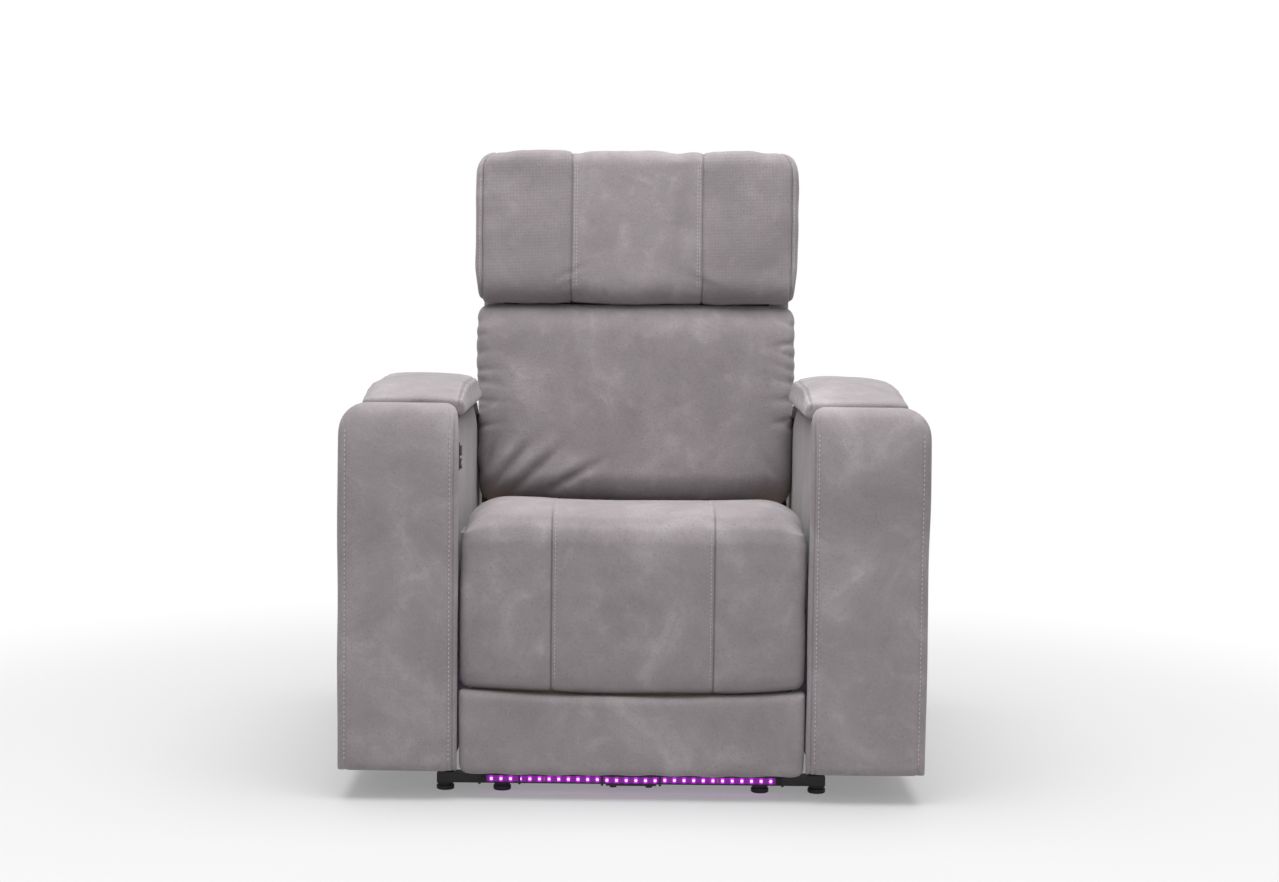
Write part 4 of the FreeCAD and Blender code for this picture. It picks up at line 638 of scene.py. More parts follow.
def seatSeams(co):
    across, deep, up = np.abs(co[:, 0]), co[:, 1], co[:, 2]
    outer = 1 - rise(deep, atDepth(52), atDepth(58)) * rise(up, 0.455, 0.450)
    near = across - seatCover["seam"]
    crest = 1 - 0.75 * rise(deep, atDepth(40), atDepth(85)) * rise(up, 0.45, 0.48)
    depth = -0.0024 * crest * hill(near, 0.0028) - 0.0010 * crest * hill(near, 0.016)
    depth += 0.0007 * hill(near - 0.004, 0.003)
    depth += 0.0022 * waves(co, 4, 0.17) + 0.0007 * waves(co, 9, 0.055)
    pull = hill(across - 0.289, 0.045) * hill(up - 0.50, 0.05)
    depth += 0.0012 * pull * np.sin(deep * 150)
    return depth * outer


# painted shade along the two seat seams, darker down the front
def seatSeamShade(co):
    near = np.abs(co[:, 0]) - seatCover["seam"]
    return hill(near, 0.0018) * (0.75 - 0.45 * rise(co[:, 1], atDepth(20), atDepth(80)))


def makeSeatCover(look):
    bm = outlineSolid(look["outline"], -look["half"], look["half"])
    sides = [e for e in bm.edges if abs(e.verts[0].co.x - e.verts[1].co.x) < 1e-6]
    bevelEdges(bm, sides, 0.013, 4)
    piece = fromBmesh("seatCover", bm, finish["suede"])
    remesh(piece, look["voxel"])
    smoothOver(piece, 3)
    co = points(piece)
    across = np.abs(co[:, 0])
    top = rise(co[:, 2], 0.452, 0.475)
    fall = np.clip((across - 0.228) / 0.064, 0, 1)
    co[:, 2] -= top * 0.052 * (1 - np.sqrt(1 - 0.97 * fall ** 2)) * rise(co[:, 2], 0.440, 0.505)
    lobe = hill(across - 0.215, 0.060) - 0.5 * hill(across, 0.10)
    co[:, 2] += top * 0.0030 * lobe
    front = rise(co[:, 1], atDepth(40), atDepth(12)) * rise(co[:, 2], 0.47, 0.42)
    co[:, 1] += front * 0.010 * np.clip((across - 0.20) / 0.09, 0, 1) ** 2.4
    lower = rise(co[:, 2], 0.235, 0.195)
    co[:, 2] += lower * 0.0105 * (across / 0.289) ** 2.2
    movePoints(piece, co)
    puff(piece, look["pressure"], look["cap"], seatHeld)
    finishCushion(piece, seatSeams, seatSeamShade)
    fitTo(piece, 0, -0.2935, 0.2935)
    fillWidth(piece, 0.2935, 0.200, 0.465)
    co = points(piece)
    low = rise(co[:, 2], 0.30, 0.19)
    co[:, 2] += low * (0.1812 - co[:, 2].min())
    under = (co[:, 2] < 0.4495) & (co[:, 1] > atDepth(62.5))
    co[under, 2] = 0.4495
    movePoints(piece, co)
    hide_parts("seat_cushion", "leg_pad")
    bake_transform(piece)
    rows = []
    for side in (-1, 1):
        x = side * (look["seam"] - 0.0065)
        rows.append((piece, [(x, atDepth(480), 0.5), (x, atDepth(34), 0.5)], (0, 0, -1)))
        rows.append((piece, [(x, atDepth(10), 0.487), (x, atDepth(10), 0.203)], (0, 1, 0)))
    thread = stitchRow("seatStitching", rows)
    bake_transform(thread)


makeSeatCover(seatCover)
print("seat cover made")


# Lower panel: flat cloth over a board, its lower corners rounded

lowerPanel = {"half": 291, "low": 50, "high": 191.5, "front": 12, "rear": 59.5, "corner": 0.013}


def makeLowerPanel(look):
    bm = boxSolid((-look["half"] / 1000, atDepth(look["front"]), look["low"] / 1000),
                  (look["half"] / 1000, atDepth(look["rear"]), look["high"] / 1000))
    corners = [e for e in bm.edges if all(v.co.z < 0.06 for v in e.verts) and runsBack(e)]
    bevelEdges(bm, corners, look["corner"], 5)
    rim = [e for e in bm.edges if all(v.co.y < atDepth(look["front"]) + 1e-5 for v in e.verts)]
    bevelEdges(bm, rim, 0.011, 4)
    piece = fromBmesh("lowerPanel", bm, finish["suede"])
    remesh(piece, 0.005)
    smoothOver(piece, 2)

    def held(co):
        return np.clip(rise(co[:, 1], atDepth(24), atDepth(32)) + rise(co[:, 2], 0.17, 0.19), 0, 1)

    puff(piece, 1.6, 0.008, held)

    def creases(co):
        up = co[:, 2]
        front = rise(co[:, 1], atDepth(40), atDepth(22))
        depth = 0.0010 * waves(co, 21, 0.16) + 0.0009 * np.sin(co[:, 0] * 95 + 1.3) * rise(up, 0.10, 0.055)
        return front * depth

    finishCushion(piece, creases, unmarked)
    fitTo(piece, 0, -0.2940, 0.2940)
    fitTo(piece, 2, 0.0425, 0.1895)
    fillWidth(piece, 0.2940, 0.070, 0.180)
    co = points(piece)
    co[:, 2] -= rise(co[:, 2], 0.14, 0.187) * 0.0105 * (1 - (np.abs(co[:, 0]) / 0.294) ** 2.2)
    movePoints(piece, co)
    dress(piece, "footrest", ["lower_panel"])


makeLowerPanel(lowerPanel)
print("lower panel made")


# Back and headrest are shaped upright at the hip, then leaned as the back is

hipPoint = Vector((0, atDepth(600), 0.400))
backLean = Matrix.Translation(hipPoint) @ Matrix.Rotation(math.radians(-6), 4, "X")


def leanBack(piece):
    piece.data.transform(backLean)
    piece.data.update()


backCushion = {"half": 300, "low": 50, "high": 430, "front": -88, "rear": -6, "voxel": 0.006,
               "pressure": 3.5, "cap": 0.024,
               # each fold: place across and up, heading in degrees, reach, width, depth
               "folds": [(-0.235, 0.115, 52, 0.045, 0.0085, 0.0075), (-0.190, 0.105, 44, 0.055, 0.0095, 0.0075),
                         (-0.120, 0.094, 30, 0.050, 0.0090, 0.0060), (-0.278, 0.130, 64, 0.035, 0.0080, 0.0055),
                         (0.262, 0.112, 126, 0.035, 0.0090, 0.0022)]}


def backHeld(co):
    across, deep = np.abs(co[:, 0]), co[:, 1]
    rear = rise(deep, -0.022, -0.010)
    return np.clip(np.maximum(rear, 0.35 * rise(across, 0.285, 0.298)), 0, 1)


def backCreases(co):
    across, deep, up = np.abs(co[:, 0]), co[:, 1], co[:, 2]
    front = rise(deep, -0.016, -0.045)
    depth = 0.0026 * waves(co * [1, 1, 0.8], 33, 0.24) + 0.0007 * waves(co, 37, 0.07)
    # gathers along both side seams, closest together high up
    for side, seed in ((-1, 3), (1, 8)):
        random = np.random.RandomState(seed)
        near = hill(co[:, 0] - side * 0.300, 0.040)
        total = np.zeros(len(co))
        for turn in range(8):
            at = 0.190 + 0.029 * turn + random.uniform(-0.007, 0.007)
            slant = random.uniform(-0.35, 0.35)
            width = random.uniform(0.0055, 0.0095)
            strength = random.uniform(0.25, 1.0)
            total += strength * hill(up - at - slant * (0.300 - across), width)
        depth -= 0.0040 * near * total
    # folds that run up and outwards from the lower left, one faint on the right
    for x, z, heading, reach, width, amount in backCushion["folds"]:
        along = (co[:, 0] - x) * cosine(heading) + (up - z) * sine(heading)
        beside = (up - z) * cosine(heading) - (co[:, 0] - x) * sine(heading)
        depth -= amount * hill(along, reach) * hill(beside, width)
        depth += 0.5 * amount * hill(along, reach) * hill(beside - 2.1 * width, 1.3 * width)
    return front * depth


def makeBackCushion(look):
    bm = boxSolid((-look["half"] / 1000, look["front"] / 1000, look["low"] / 1000),
                  (look["half"] / 1000, look["rear"] / 1000, look["high"] / 1000))
    bevelEdges(bm, [e for e in bm.edges if any(v.co.y < -0.05 for v in e.verts)], 0.024, 5)
    piece = fromBmesh("backCushion", bm, finish["suede"])
    remesh(piece, look["voxel"])
    smoothOver(piece, 4)
    co = points(piece)
    across = np.abs(co[:, 0])
    front = rise(co[:, 1], -0.02, -0.07)
    co[:, 1] += front * 0.016 * (across / 0.3) ** 3
    co[:, 1] += front * 0.020 * rise(co[:, 2], 0.36, 0.43) ** 2
    co[:, 1] += front * 0.020 * rise(co[:, 2], 0.105, 0.045)
    co[:, 0] *= 1 - 0.018 * np.clip((0.26 - co[:, 2]) / 0.2, 0, 1)
    movePoints(piece, co)
    puff(piece, look["pressure"], look["cap"], backHeld)
    finishCushion(piece, backCreases, unmarked)
    fitTo(piece, 0, -0.3055, 0.3055)
    co = points(piece)
    between = rise(co[:, 2], 0.30, 0.245)
    co[:, 0] *= 1 - 0.006 * between
    movePoints(piece, co)
    leanBack(piece)
    dress(piece, "back", ["back_cushion"])


makeBackCushion(backCushion)
print("back cushion made")


headrest = {"half": 306, "low": 431, "high": 716, "front": -101, "rear": -10, "seam": 0.124, "gusset": 0.2935,
            "voxel": 0.006, "pressure": 3.4, "cap": 0.022,
            # each dip of the top edge: place across, width, depth
            "dips": [(-0.262, 0.020, 0.0035), (-0.112, 0.016, 0.0050), (0.072, 0.026, 0.0048),
                     (0.128, 0.012, 0.0020), (0.245, 0.022, 0.0026)]}


def headHeld(co):
    across, deep = np.abs(co[:, 0]), co[:, 1]
    rear = rise(deep, -0.018, -0.011)
    seams = 0.8 * hill(across - headrest["seam"], 0.006) * rise(deep, -0.02, -0.05)
    gusset = 0.7 * hill(across - headrest["gusset"], 0.005)
    return np.clip(np.maximum.reduce([rear, seams, gusset]), 0, 1)


def gussetAt(up):  # the front panel's side seam curves in round the upper corner
    turn = np.clip(up - 0.678, 0, 0.0375)
    return headrest["gusset"] - 0.8 * (0.038 - np.sqrt(0.038 ** 2 - turn ** 2))


def headSeams(co):
    across, deep, up = np.abs(co[:, 0]), co[:, 1], co[:, 2]
    front = rise(deep, -0.020, -0.045)
    near = across - headrest["seam"]
    end = 1 + 1.6 * hill(up - 0.445, 0.05) + 0.7 * hill(up - 0.705, 0.03)
    depth = -0.0026 * hill(near, 0.0027) - 0.0009 * end * hill(near, 0.017)
    depth += 0.0007 * hill(near - 0.004, 0.003)
    depth -= 0.0030 * hill(across - gussetAt(up), 0.0030)
    depth += 0.0019 * waves(co, 52, 0.15) + 0.0007 * waves(co, 57, 0.05)
    # short puckers that run into the seams from the lower edge
    for side, seed in ((-1, 11), (1, 12)):
        random = np.random.RandomState(seed)
        beside = co[:, 0] * side - headrest["seam"]
        amount = 0.0010 if side < 0 else 0.0022
        for _ in range(3):
            at = random.uniform(0.45, 0.53)
            slant = random.uniform(-0.6, -0.3)
            depth -= amount * hill(up - at - slant * beside, 0.008) * hill(beside, 0.030)
    # the top edge dips in a few places
    top = rise(up, 0.690, 0.712)
    for x, width, amount in headrest["dips"]:
        depth -= top * amount * hill(co[:, 0] - x, width)
    return depth * np.maximum(front, top)


# painted shade along the front panel's seams and the gusset seams
def headSeamShade(co):
    across, deep, up = np.abs(co[:, 0]), co[:, 1], co[:, 2]
    front = rise(deep, -0.030, -0.045)
    return 0.8 * front * np.maximum(hill(across - headrest["seam"], 0.0017),
                                    hill(across - gussetAt(up), 0.0016))


def makeHeadrest(look):
    bm = boxSolid((-look["half"] / 1000, look["front"] / 1000, look["low"] / 1000),
                  (look["half"] / 1000, look["rear"] / 1000, look["high"] / 1000))
    for inside, radius, steps in ((lambda z: z < 0.5, 0.043, 7), (lambda z: z > 0.7, 0.030, 6)):
        bevelEdges(bm, [e for e in bm.edges if all(inside(v.co.z) for v in e.verts)
                        and abs(e.verts[0].co.x - e.verts[1].co.x) > 0.1], radius, steps)
    sharp = [e for e in bm.edges if all(abs(abs(v.co.x) - look["half"] / 1000) < 1e-4 for v in e.verts)]
    bevelEdges(bm, sharp, 0.014, 4)
    piece = fromBmesh("headrestCushion", bm, finish["suede"])
    remesh(piece, look["voxel"])
    smoothOver(piece, 4)
    co = points(piece)
    across = np.abs(co[:, 0])
    front = rise(co[:, 1], -0.03, -0.09)
    co[:, 1] += front * 0.010 * (across / 0.3) ** 4
    high = rise(co[:, 2], 0.60, 0.712)
    co[:, 2] -= high * 0.020 * np.clip((across - 0.265) / 0.041, 0, 1) ** 2
    low = rise(co[:, 2], 0.50, 0.431)
    co[:, 0] *= 1 - 0.022 * low
    movePoints(piece, co)
    puff(piece, look["pressure"], look["cap"], headHeld)
    finishCushion(piece, headSeams, headSeamShade)
    fitTo(piece, 0, -0.309, 0.309)
    fitTo(piece, 2, 0.4290, 0.7250)
    leanBack(piece)
    piece.data.materials.append(finish["suedeWoven"])
    middle = np.empty(len(piece.data.polygons) * 3)
    piece.data.polygons.foreach_get("center", middle)
    middle = np.abs(middle.reshape(-1, 3)[:, 0])
    woven = ((middle > look["seam"]) & (middle < look["gusset"])).astype(int)
    piece.data.polygons.foreach_set("material_index", woven)
    rows = []
    toward = (backLean.to_3x3() @ Vector((0, 1, 0))).normalized()
    for side in (-1, 1):
        for shift in (-0.0050, -0.0095):
            x = side * (look["seam"] + shift)
            path = [backLean @ Vector((x, -0.10, z)) for z in (0.452, 0.580, 0.700)]
            rows.append((piece, path, toward))
        x = side * (look["gusset"] + 0.006)
        rows.append((piece, [backLean @ Vector((x, -0.09, z)) for z in (0.470, 0.580, 0.672)], toward))
    dress(piece, "headrest", ["headrest_cushion"])
    thread = stitchRow("headrestStitching", rows)
    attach(thread, "headrest")


makeHeadrest(headrest)
print("headrest made")


# Rear cover of the back: a padded panel with a sewn border

backCover = {"half": 298, "low": 25, "high": 695, "front": 25.3, "rear": 48, "border": 0.052, "belt": 0.405,
             "stitches": 0.2525, "stitchTop": 0.6495}


def makeBackCover(look):
    bm = boxSolid((-look["half"] / 1000, look["front"] / 1000, look["low"] / 1000),
                  (look["half"] / 1000, look["rear"] / 1000, look["high"] / 1000))
    bevelEdges(bm, [e for e in bm.edges if all(v.co.z > 0.6 for v in e.verts) and runsBack(e)], 0.028, 5)
    bevelEdges(bm, [e for e in bm.edges if all(v.co.y > 0.047 for v in e.verts)], 0.012, 4)
    piece = fromBmesh("backCover", bm, finish["suede"])
    remesh(piece, 0.006)
    smoothOver(piece, 2)

    def seams(co):
        across, deep, up = np.abs(co[:, 0]), co[:, 1], co[:, 2]
        rear = rise(deep, 0.034, 0.042)
        border = np.minimum(look["half"] / 1000 - across, look["high"] / 1000 - up)
        depth = -0.0028 * hill(border - look["border"], 0.0032) + 0.0010 * hill(border - 0.045, 0.005)
        depth -= 0.0024 * hill(up - look["belt"], 0.0032) * (border > look["border"])
        depth += 0.0016 * waves(co, 71, 0.20)
        return rear * depth

    # painted shade along the border seam and the belt seam
    def marks(co):
        across, deep, up = np.abs(co[:, 0]), co[:, 1], co[:, 2]
        border = np.minimum(look["half"] / 1000 - across, look["high"] / 1000 - up)
        line = np.maximum(hill(border - look["border"], 0.0022),
                          hill(up - look["belt"], 0.0022) * (border > look["border"]))
        return line * rise(deep, 0.036, 0.042)

    finishCushion(piece, seams, marks)
    leanBack(piece)
    dress(piece, "back", ["back_cover"])
    toward = -(backLean.to_3x3() @ Vector((0, 1, 0))).normalized()
    rows = []
    for side in (-1, 1):
        x = side * look["stitches"]
        rows.append((piece, [backLean @ Vector((x, 0.048, z)) for z in (0.040, 0.30, 0.649)], toward))
    ends = (-look["stitches"], look["stitches"])
    rows.append((piece, [backLean @ Vector((x, 0.048, look["stitchTop"])) for x in ends], toward))
    thread = stitchRow("backCoverStitching", rows)
    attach(thread, "back")


makeBackCover(backCover)
print("back cover made")


# Arms: front pad with a rolled top, outer and inner cloth, padded lid

armShape = {"outer": 500, "inner": 295, "low": 55, "top": 674, "shoulder": 46, "innerShoulder": 14,
            "front": 0, "rear": 60}


def armPoint(side, x, depth, z):
    return Vector((side * x / 1000, atDepth(depth), z / 1000))


def armPlaces(co):  # distance from the middle, depth and height in mm
    return np.abs(co[:, 0]) * 1000, (co[:, 1] + halfDepth) * 1000, co[:, 2] * 1000


def makeFrontPad(side, name, look):
    outer, inner, top, low = look["outer"], look["inner"], look["top"], look["low"]
    r, q = look["shoulder"], look["innerShoulder"]
    rim = [(inner, low), (outer, low)]
    rim += [(outer - r + r * cosine(a), top - r + r * sine(a)) for a in range(0, 91, 10)]
    rim += [(inner + q - q * sine(a), top - q + q * cosine(a)) for a in range(0, 91, 18)]
    bm = bmesh.new()
    face = bm.faces.new([bm.verts.new(armPoint(side, x, look["front"], z)) for x, z in rim])
    drawOut(bm, face, (0, (look["rear"] - 0.3) / 1000, 0))
    bmesh.ops.recalc_face_normals(bm, faces=bm.faces)
    front = [e for e in bm.edges if all(v.co.y < atDepth(0) + 1e-5 for v in e.verts)]
    bevelEdges(bm, front, 0.012, 4)
    piece = fromBmesh(name, bm, finish["suede"])
    remesh(piece, 0.005)
    smoothOver(piece, 2)
    co = points(piece)
    x, deep, up = armPlaces(co)
    # the top rolls over backwards from well below the crest
    below = np.clip((up - (top - 105)) / 105, 0, 1)
    need = 44 * (1 - np.sqrt(np.clip(1 - below ** 2, 0, None)))
    share = np.clip(1 - deep / 60, 0, 1)
    co[:, 1] += need * share / 1000 * 0.93
    # the face is crowned a little between the two rows of stitching
    face = rise(deep, 26.0, 4.0)
    middle = (outer + inner) / 2
    co[:, 1] += face * 0.004 * np.clip(np.abs(x - middle) / 102, 0, 1) ** 3
    movePoints(piece, co)

    def seams(co):
        x, deep, up = armPlaces(co)
        face = rise(deep, 34.0, 14.0) * rise(up, top - 20, top - 60)
        line = hill(x - (outer - 14), 3.0) + hill(x - (inner + 15), 3.0) + 1.6 * hill(x - (inner + 7), 2.4)
        depth = -0.0012 * line * face
        depth += 0.0009 * waves(co, 81 + side, 0.17) * rise(deep, 40, 20)
        return depth

    # painted shade along the stitched seams of the front face
    def marks(co):
        x, deep, _ = armPlaces(co)
        line = 0.22 * (hill(x - (outer - 14), 2.2) + hill(x - (inner + 15), 2.2))
        line += 0.6 * hill(x - (inner + 7), 1.5)
        return line * rise(deep, 34.0, 14.0)

    finishCushion(piece, seams, marks)
    fitTo(piece, 0, *sorted((side * outer / 1000, side * (inner + 0.3) / 1000)))
    fitTo(piece, 1, atDepth(0), atDepth(look["rear"] - 0.3))
    fitTo(piece, 2, (low - 5) / 1000, top / 1000)
    co = points(piece)
    x, deep = np.abs(co[:, 0]) * 1000, (co[:, 1] + halfDepth) * 1000
    co[:, 0] += side * 0.0082 * rise(x, inner + 40, inner + 8) * rise(deep, 16, 56)
    movePoints(piece, co)
    tag = "left" if side < 0 else "right"
    dress(piece, "base", [f"arm_front_pad_{tag}"])
    rows = []
    for x in (outer - 14, inner + 15):
        rows.append((piece, [armPoint(side, x, 0, z) for z in (62, 400, 640)], (0, 1, 0)))
    thread = stitchRow(f"{name}Stitching", rows, pitch=0.0078, thick=0.0015)
    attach(thread, "base")


armSide = {"board": 488, "outer": 500, "low": 55, "turn": 630, "roll": 28, "inner": 470.5, "under": 650.2,
           "front": 60.3, "length": 879.7, "topDepths": [502, 505, 620, 925, 940.1],
           "topLevels": [658, 648, 598, 555, 555], "seamDepths": [60, 500, 505, 620, 925, 940],
           "seamLevels": [640, 640, 640, 590, 548, 548], "rearSeam": 918, "border": 26}


def makeOuterPanel(side, name, look):
    tag = "left" if side < 0 else "right"
    outer, turn, roll = look["outer"], look["turn"], look["roll"]
    outline = [(look["board"], look["low"]), (outer, look["low"]), (outer, turn)]
    outline += [(outer - roll + roll * cosine(a), turn + roll * sine(a)) for a in range(9, 91, 9)]
    outline += [(look["inner"], turn + roll), (look["inner"], look["under"]), (look["board"], look["under"])]
    bm = bmesh.new()
    face = bm.faces.new([bm.verts.new(armPoint(side, x, look["front"], z)) for x, z in outline])
    drawOut(bm, face, (0, look["length"] / 1000, 0))
    bmesh.ops.recalc_face_normals(bm, faces=bm.faces)
    # the panel falls behind the lid and again to the rear
    for depth in (501.5, 620):
        bmesh.ops.bisect_plane(bm, geom=bm.verts[:] + bm.edges[:] + bm.faces[:], dist=1e-6,
                               plane_co=(0, atDepth(depth), 0), plane_no=(0, 1, 0))
    for v in bm.verts:
        depth = (v.co.y + halfDepth) * 1000
        if depth > 502.5:
            v.co.z = min(v.co.z, np.interp(depth, look["topDepths"], look["topLevels"]) / 1000)
    bmesh.ops.remove_doubles(bm, verts=bm.verts, dist=1e-6)
    bmesh.ops.dissolve_degenerate(bm, edges=bm.edges, dist=1e-6)
    rear = bmesh.ops.create_cube(bm, size=1)["verts"]
    bmesh.ops.scale(bm, vec=(0.196, 0.012, 0.5), verts=rear)
    bmesh.ops.translate(bm, vec=(side * 0.402, atDepth(934), 0.305), verts=rear)
    piece = fromBmesh(name, bm, finish["suede"])
    remesh(piece, 0.006)
    smoothOver(piece, 2)

    def belowSeam(deep, up):
        return np.interp(deep, look["seamDepths"], look["seamLevels"]) - look["border"] - up

    def seams(co):
        _, deep, up = armPlaces(co)
        depth = 0.0010 * waves(co, 91 + side, 0.26)
        depth -= 0.0012 * hill(deep - look["rearSeam"], 3.0) * rise(up, 60, 80)
        return depth - 0.0014 * hill(belowSeam(deep, up), 3.4)

    # painted shade along the rear seam and the seam under the top border
    def marks(co):
        _, deep, up = armPlaces(co)
        return np.maximum(0.5 * hill(deep - look["rearSeam"], 2.6), 0.45 * hill(belowSeam(deep, up), 2.6))

    finishCushion(piece, seams, marks)
    co = points(piece)
    reach = np.abs(co[:, 0]).max()
    outside = rise(np.abs(co[:, 0]), 0.485, 0.495)
    co[:, 0] += side * outside * (0.5005 - reach)
    co[:, 2] += rise(co[:, 2], 0.12, 0.06) * (0.0505 - co[:, 2].min())
    movePoints(piece, co)
    dress(piece, "base", [f"arm_outer_panel_{tag}"])
    rows = [(piece, [armPoint(side, 500, d, z) for d, z in ((66, 609), (500, 609), (612, 564), (912, 521))],
             (-side, 0, 0)),
            (piece, [armPoint(side, 500, 924, z) for z in (62, 516)], (-side, 0, 0))]
    thread = stitchRow(f"{name}Stitching", rows, pitch=0.0082)
    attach(thread, "base")


innerPanel = {"inner": 304, "outer": 311.7, "swell": 2.2,
              "outline": [(60.4, 55), (925, 55), (925, 545), (880, 558), (620, 598), (530, 634), (495, 646),
                          (60.4, 647)]}


def makeInnerPanels(look):
    bm = bmesh.new()
    for side in (-1, 1):
        ring = [bm.verts.new(armPoint(side, look["inner"], d, z)) for d, z in look["outline"]]
        drawOut(bm, bm.faces.new(ring), (side * (look["outer"] - look["inner"]) / 1000, 0, 0))
    bmesh.ops.recalc_face_normals(bm, faces=bm.faces)
    flat = [e for e in bm.edges if all(abs(abs(v.co.x) - look["inner"] / 1000) < 1e-5 for v in e.verts)]
    bevelEdges(bm, flat, 0.005, 3)
    piece = fromBmesh("armInnerCloth", bm, finish["suede"])
    remesh(piece, 0.005)
    smoothOver(piece, 1)
    co = points(piece)
    deep, up = (co[:, 1] + halfDepth) * 1000, co[:, 2] * 1000
    limit = np.interp(deep, [60, 495, 620, 925], [647, 646, 598, 545])
    edge = np.minimum(np.minimum(limit - up, up - 55), np.minimum(deep - 60, 925 - deep))
    face = rise(np.abs(co[:, 0]), 0.3085, 0.3050)
    swell = look["swell"] * (1 - np.exp(-np.clip(edge, 0, None) / 22)) * (1 - hill(deep - 90, 34))
    co[:, 0] -= np.sign(co[:, 0]) * face * swell / 1000
    movePoints(piece, co)

    def seams(co):
        return 0.0007 * waves(co, 63, 0.16) * rise(np.abs(co[:, 0]), 0.3085, 0.3050)

    finishCushion(piece, seams, unmarked)
    dress(piece, "base", ["arm_inner_panels"])


def makeArmTop(side, name):  # cloth drawn over the low rear of the arm
    bm = bmesh.new()
    path = [(503, 649.5), (560, 624.5), (620, 599.2), (760, 579.5), (925, 556.4)]
    strip = [bm.verts.new(armPoint(side, 297, d, z)) for d, z in path]
    edges = [bm.edges.new((a, b)) for a, b in zip(strip, strip[1:])]
    made = bmesh.ops.extrude_edge_only(bm, edges=edges)
    bmesh.ops.translate(bm, verts=freshPoints(made), vec=(side * 0.198, 0, 0))
    bmesh.ops.subdivide_edges(bm, edges=bm.edges[:], cuts=5, use_grid_fill=True)
    bmesh.ops.recalc_face_normals(bm, faces=bm.faces)
    if sum(f.normal.z for f in bm.faces) < 0:
        bmesh.ops.reverse_faces(bm, faces=bm.faces)
    for v in bm.verts:
        edge = min(abs(abs(v.co.x) - 0.297), abs(abs(v.co.x) - 0.495))
        v.co.z += 0.003 * min(1, edge / 0.03) - 0.002 * max(0, 1 - edge / 0.006)
    mesh = bpy.data.meshes.new(name)
    bm.to_mesh(mesh)
    bm.free()
    piece = addObject(name, mesh, finish["suede"])
    piece.modifiers.new("Thickness", "SOLIDIFY").thickness = 0.0022
    piece.modifiers["Thickness"].offset = 1
    rounding = piece.modifiers.new("Subdivision", "SUBSURF")
    rounding.levels = rounding.render_levels = 2
    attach(piece, "base")


lidShape = {"front": 61, "rear": 501, "inner": 292.5, "outer": 465, "low": 651.5, "edge": 678.5}


def makeLid(side, name, look):
    tag = "left" if side < 0 else "right"
    bm = boxSolid((look["inner"] / 1000, atDepth(look["front"]), look["low"] / 1000),
                  (look["outer"] / 1000, atDepth(look["rear"]), look["edge"] / 1000))
    bmesh.ops.scale(bm, vec=(side, 1, 1), verts=bm.verts)
    bmesh.ops.recalc_face_normals(bm, faces=bm.faces)
    nearFront = atDepth(look["front"]) + 1e-4
    bevelEdges(bm, [e for e in bm.edges if all(v.co.z > 0.67 for v in e.verts)
                    and not all(v.co.y < nearFront for v in e.verts)], 0.006, 3)
    piece = fromBmesh(name, bm, finish["suede"])
    remesh(piece, 0.005)
    smoothOver(piece, 1)
    co = points(piece)
    x, deep, up = np.abs(co[:, 0]) * 1000, (co[:, 1] + halfDepth) * 1000, co[:, 2]
    across = np.abs(x - 379) / 88
    high = rise(up, 0.656, 0.674)
    length = rise(deep, look["front"] - 40, 210) * rise(deep, look["rear"] + 45, 400)
    rearEnd = np.clip(1 - (look["rear"] - deep) / 30, 0, 1)
    crown = 0.0300 * length * (1 - 0.36 * across ** 3) - 0.008 * rearEnd ** 2
    co[:, 2] += high * (crown - 0.0012 * across ** 2)
    band = rise(x, 300, 294) * (1 - ((up * 1000 - 663) / 13) ** 2).clip(0, 1)
    co[:, 0] -= side * 0.0042 * band
    movePoints(piece, co)

    def held(co):
        return np.clip(rise(co[:, 2], 0.664, 0.656) + rise(co[:, 1], nearFront + 0.008, nearFront), 0, 1)

    puff(piece, 1.2, 0.004, held)
    ridge = look["inner"] + 6.5

    def seams(co):
        x, deep, up = np.abs(co[:, 0]) * 1000, (co[:, 1] + halfDepth) * 1000, co[:, 2]
        top = rise(up, 0.664, 0.672)
        depth = (-0.0016 * hill(x - ridge, 1.9) + 0.0013 * hill(x - ridge + 3.6, 2.0)) * top
        depth -= 0.0009 * hill(x - 456, 2.4) * top
        depth += 0.0013 * waves(co * [1, 0.55, 1], 95 + side, 0.10) * top
        depth += 0.0004 * np.sin(deep * 0.12 + x * 0.03 + 3 * waves(co, 17, 0.2)) * top * rise(deep, 62, 90)
        return depth

    # painted shade along the lid's inner ridge seam and its outer seam
    def marks(co):
        x, up = np.abs(co[:, 0]) * 1000, co[:, 2]
        return rise(up, 0.664, 0.672) * np.maximum(0.8 * hill(x - ridge, 1.5), 0.35 * hill(x - 456, 1.7))

    finishCushion(piece, seams, marks)
    co = points(piece)
    co[:, 2] = np.maximum(co[:, 2], 0.6508)
    co[:, 1] = np.clip(co[:, 1], atDepth(60.8), atDepth(502))
    movePoints(piece, co)
    dress(piece, f"lid_{tag}", [f"lid_pad_{tag}"])
    rows = [(piece, [armPoint(side, ridge + 5, d, 690) for d in (74, 280, 488)], (0, 0, -1))]
    thread = stitchRow(f"{name}Stitching", rows)
    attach(thread, f"lid_{tag}")


for side, word in ((-1, "Left"), (1, "Right")):
    makeFrontPad(side, f"armFrontPad{word}", armShape)
    makeOuterPanel(side, f"armOuterCloth{word}", armSide)
    makeArmTop(side, f"armRearTop{word}")
    makeLid(side, f"armLid{word}", lidShape)
    print("arm made", word)
makeInnerPanels(innerPanel)


# Control plate: bevelled bezel and two rockers with a bright ring

controls = {"front": 75, "width": 30, "low": 555, "height": 49, "plate": 4}


